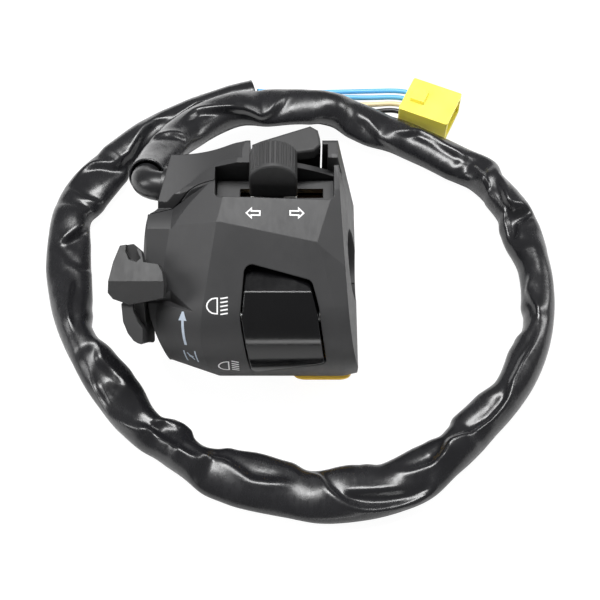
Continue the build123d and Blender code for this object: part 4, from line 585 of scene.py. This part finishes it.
# Cable grommet and leads. The elbow is moulded rubber that seals the sleeve into the front half, and the
# leads inside are the same four wires, soldered to the contacts.
rubber = surface("elbow_rubber", (0.008, 0.008, 0.009, 1.0), (0.014, 0.014, 0.015, 1.0), (0.2, 0.36),
                 grain_size=1600.0, depth=0.00005, strength=0.3)
dress(rubber, "cable_grommet")
dress(wire_covers["wire_black"], "switch_leads")


# Turn signal switch. A ribbed thumb knob of matt black nylon slides in the recess on a white acetal
# carriage, over a phenolic board with brass contacts.
knob_black = surface("knob_nylon", (0.020, 0.020, 0.021, 1.0), (0.03, 0.03, 0.03, 1.0), (0.45, 0.6),
                     grain_size=3000.0, depth=0.00003, edge=0.0003)
dress(knob_black, "turn_knob", "pass_trigger", "choke_lever")
acetal = surface("white_acetal", (0.78, 0.78, 0.75, 1.0), (0.84, 0.84, 0.82, 1.0), (0.3, 0.45),
                 grain_size=1200.0, depth=0.00003)
dress(acetal, "turn_carriage", "dimmer_plunger")
board = surface("phenolic_board", (0.24, 0.13, 0.055, 1.0), (0.30, 0.17, 0.07, 1.0), (0.4, 0.55),
                grain_size=1800.0, depth=0.00004)
dress(board, "turn_contact_board", "dimmer_contact_board", "pass_contact_base", "horn_contact_base")
brass = surface("contact_brass", (0.72, 0.50, 0.20, 1.0), (0.80, 0.60, 0.28, 1.0), (0.2, 0.4),
                patches=500.0, grain_size=2600.0, depth=0.00001, Metallic=1.0)
dress(brass, "turn_fixed_contacts", "turn_bridge_contact", "dimmer_fixed_contacts", "dimmer_bridge_contact",
      "pass_fixed_contact", "pass_moving_contact", "horn_fixed_contacts", "horn_contact_disc")


# Dimmer rocker. A large rocker moulded in polished black acrylic, the only glossy face of the switch. It
# tips on a steel pin and clicks over by a sprung plunger.
rocker_gloss = surface("rocker_gloss", (0.003, 0.003, 0.0035, 1.0), (0.0045, 0.0045, 0.005, 1.0),
                       (0.08, 0.15), grain_size=500.0, depth=0.00002, strength=0.08, edge=0.0006)
dress(rocker_gloss, "dimmer_rocker")


# Horn button. Moulded in yellow nylon so that it is found at a glance. It slides in its bore against a coil
# spring and carries the disc that joins the horn's contacts.
horn_yellow = surface("horn_yellow", (0.94, 0.56, 0.02, 1.0), (0.97, 0.62, 0.04, 1.0), (0.35, 0.5),
                      grain_size=2200.0, depth=0.00003, edge=0.0004)
dress(horn_yellow, "horn_button")


# Pad-printed marks. White ink shows the two turn signals and the two beams, and pale blue ink the choke.
# The ink is pressed on from a flat pad, so each mark is drawn flat and laid on the housing along the
# pad's way.
ink_height = 0.04 * mm
ink_cuts = 3
pad_lift = 6 * mm
pad_travel = 14 * mm
housing_skin = bmesh.new()
housing_skin.from_mesh(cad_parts["rear_housing"].data)
housing_tree = BVHTree.FromBMesh(housing_skin)
housing_skin.free()


def outline(shape, corners, width):
    """A closed line of ink of an even width, drawn from the corners of its outside."""
    verts = [shape.verts.new((x * mm, y * mm, 0)) for x, y in corners]
    face = shape.faces.new(verts)
    face.normal_update()
    bmesh.ops.inset_region(shape, faces=[face], thickness=width * mm, use_even_offset=True,
                           use_boundary=True)
    bmesh.ops.delete(shape, geom=[face], context="FACES")


def patch(shape, corners):
    """A filled piece of ink."""
    shape.faces.new([shape.verts.new((x * mm, y * mm, 0)) for x, y in corners])


def stroke(shape, start, end, width):
    """A straight bar of ink."""
    along = (Vector(end) - Vector(start)).normalized()
    aside = Vector((-along.y, along.x)) * width / 2
    patch(shape, [Vector(start) - aside, Vector(end) - aside, Vector(end) + aside, Vector(start) + aside])


def pressed(name, shape, centre, across, facing, ink):
    """Lays a flat drawing on the housing, where the pad touches it."""
    out = Vector(facing).normalized()
    right = (Vector(across) - out * out.dot(Vector(across))).normalized()
    up = out.cross(right)
    bmesh.ops.subdivide_edges(shape, edges=shape.edges, cuts=ink_cuts, use_grid_fill=True)
    bmesh.ops.triangulate(shape, faces=shape.faces)
    for vert in shape.verts:
        above = Vector(centre) * mm + right * vert.co.x + up * vert.co.y + out * pad_lift
        place, normal, _, _ = housing_tree.ray_cast(above, -out, pad_travel)
        if place is None:
            place, normal, _, _ = housing_tree.find_nearest(above - out * pad_lift)
        vert.co = place + normal * ink_height
    bmesh.ops.recalc_face_normals(shape, faces=shape.faces)
    if sum((f.normal for f in shape.faces), Vector()).dot(out) < 0:
        bmesh.ops.reverse_faces(shape, faces=shape.faces)
    piece = finished(name, shape, smooth=False)
    piece.data.materials.append(ink)
    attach(piece, "housing")


white_ink = surface("white_ink", (0.80, 0.80, 0.80, 1.0), (0.88, 0.88, 0.88, 1.0), (0.4, 0.55),
                    patches=900.0, grain_size=2600.0, depth=0.00002)
blue_ink = surface("pale_blue_ink", (0.36, 0.42, 0.50, 1.0), (0.46, 0.52, 0.60, 1.0), (0.4, 0.55),
                   patches=900.0, grain_size=2600.0, depth=0.00002)
arrow_corners = (
    (-2.25, 0), (-0.3, 1.9), (-0.3, 0.85), (2.2, 0.85), (2.2, -0.85), (-0.3, -0.85), (-0.3, -1.9),
)
arrow_places = (("turn_left_mark", 1, (1.8, 1.66, 26.17)), ("turn_right_mark", -1, (14.62, 2.07, 25.56)))
top_facing = (0.054, -0.258, 0.965)
fine_line = 0.42
for name, flip, centre in arrow_places:
    drawing = bmesh.new()
    corners = [(x * flip, y) for x, y in arrow_corners]
    outline(drawing, corners if flip > 0 else corners[::-1], fine_line)
    pressed(name, drawing, centre, (1, 0, 0), top_facing, white_ink)

bowl_corners = (
    (-0.5, 2.45), (-1.5, 2.25), (-2.4, 1.6), (-2.95, 0.8), (-3.1, 0.0), (-2.95, -0.8), (-2.4, -1.6),
    (-1.5, -2.25), (-0.5, -2.45), (0.35, -2.45), (0.35, 2.45),
)
bowl_line = 0.4
rays = 5
first_ray = 2.3
ray_step = 1.15
ray_start = 1.05
ray_end = 3.2


def lamp_mark(name, drop, centre, facing):
    """The lamp's bowl as a D, with its five rays; dipped rays slant down."""
    drawing = bmesh.new()
    outline(drawing, bowl_corners, bowl_line)
    for ray in range(rays):
        height = first_ray + drop / 2 - ray_step * ray
        stroke(drawing, (ray_start, height), (ray_end, height - drop), fine_line)
    pressed(name, drawing, centre, (1, 0, 0), facing, white_ink)


lamp_mark("main_beam_mark", -0.35, (-8.7, -22.43, 13.69), (0, -0.55, 0.835))
lamp_mark("dipped_beam_mark", 0.7, (-5.9, -33.24, -3.52), (0, -0.995, 0.09))

arrow_shaft = 0.8
drawing = bmesh.new()
patch(drawing, ((-1.25, 1.7), (0, 5.1), (1.25, 1.7)))
stroke(drawing, (0, -6.0), (0, 1.8), arrow_shaft)
pressed("choke_arrow_mark", drawing, (-18.2, -25.3, 7.4), (0.85, -0.37, 0.39), (-0.515, -0.6, 0.61),
        blue_ink)

flap_line = 0.45
flap_spindle = 0.9
drawing = bmesh.new()
stroke(drawing, (-2.0, 1.5), (-1.2, -3.4), fine_line)
stroke(drawing, (1.5, 2.4), (2.3, -2.5), fine_line)
stroke(drawing, (-0.9, 0.9), (1.3, -1.7), flap_line)
stroke(drawing, (-0.3, -0.1), (0.9, -0.6), flap_spindle)
pressed("choke_flap_mark", drawing, (-16.64, -30.41, -0.55), (0.85, -0.5, 0.1), (-0.51, -0.847, 0.131),
        blue_ink)
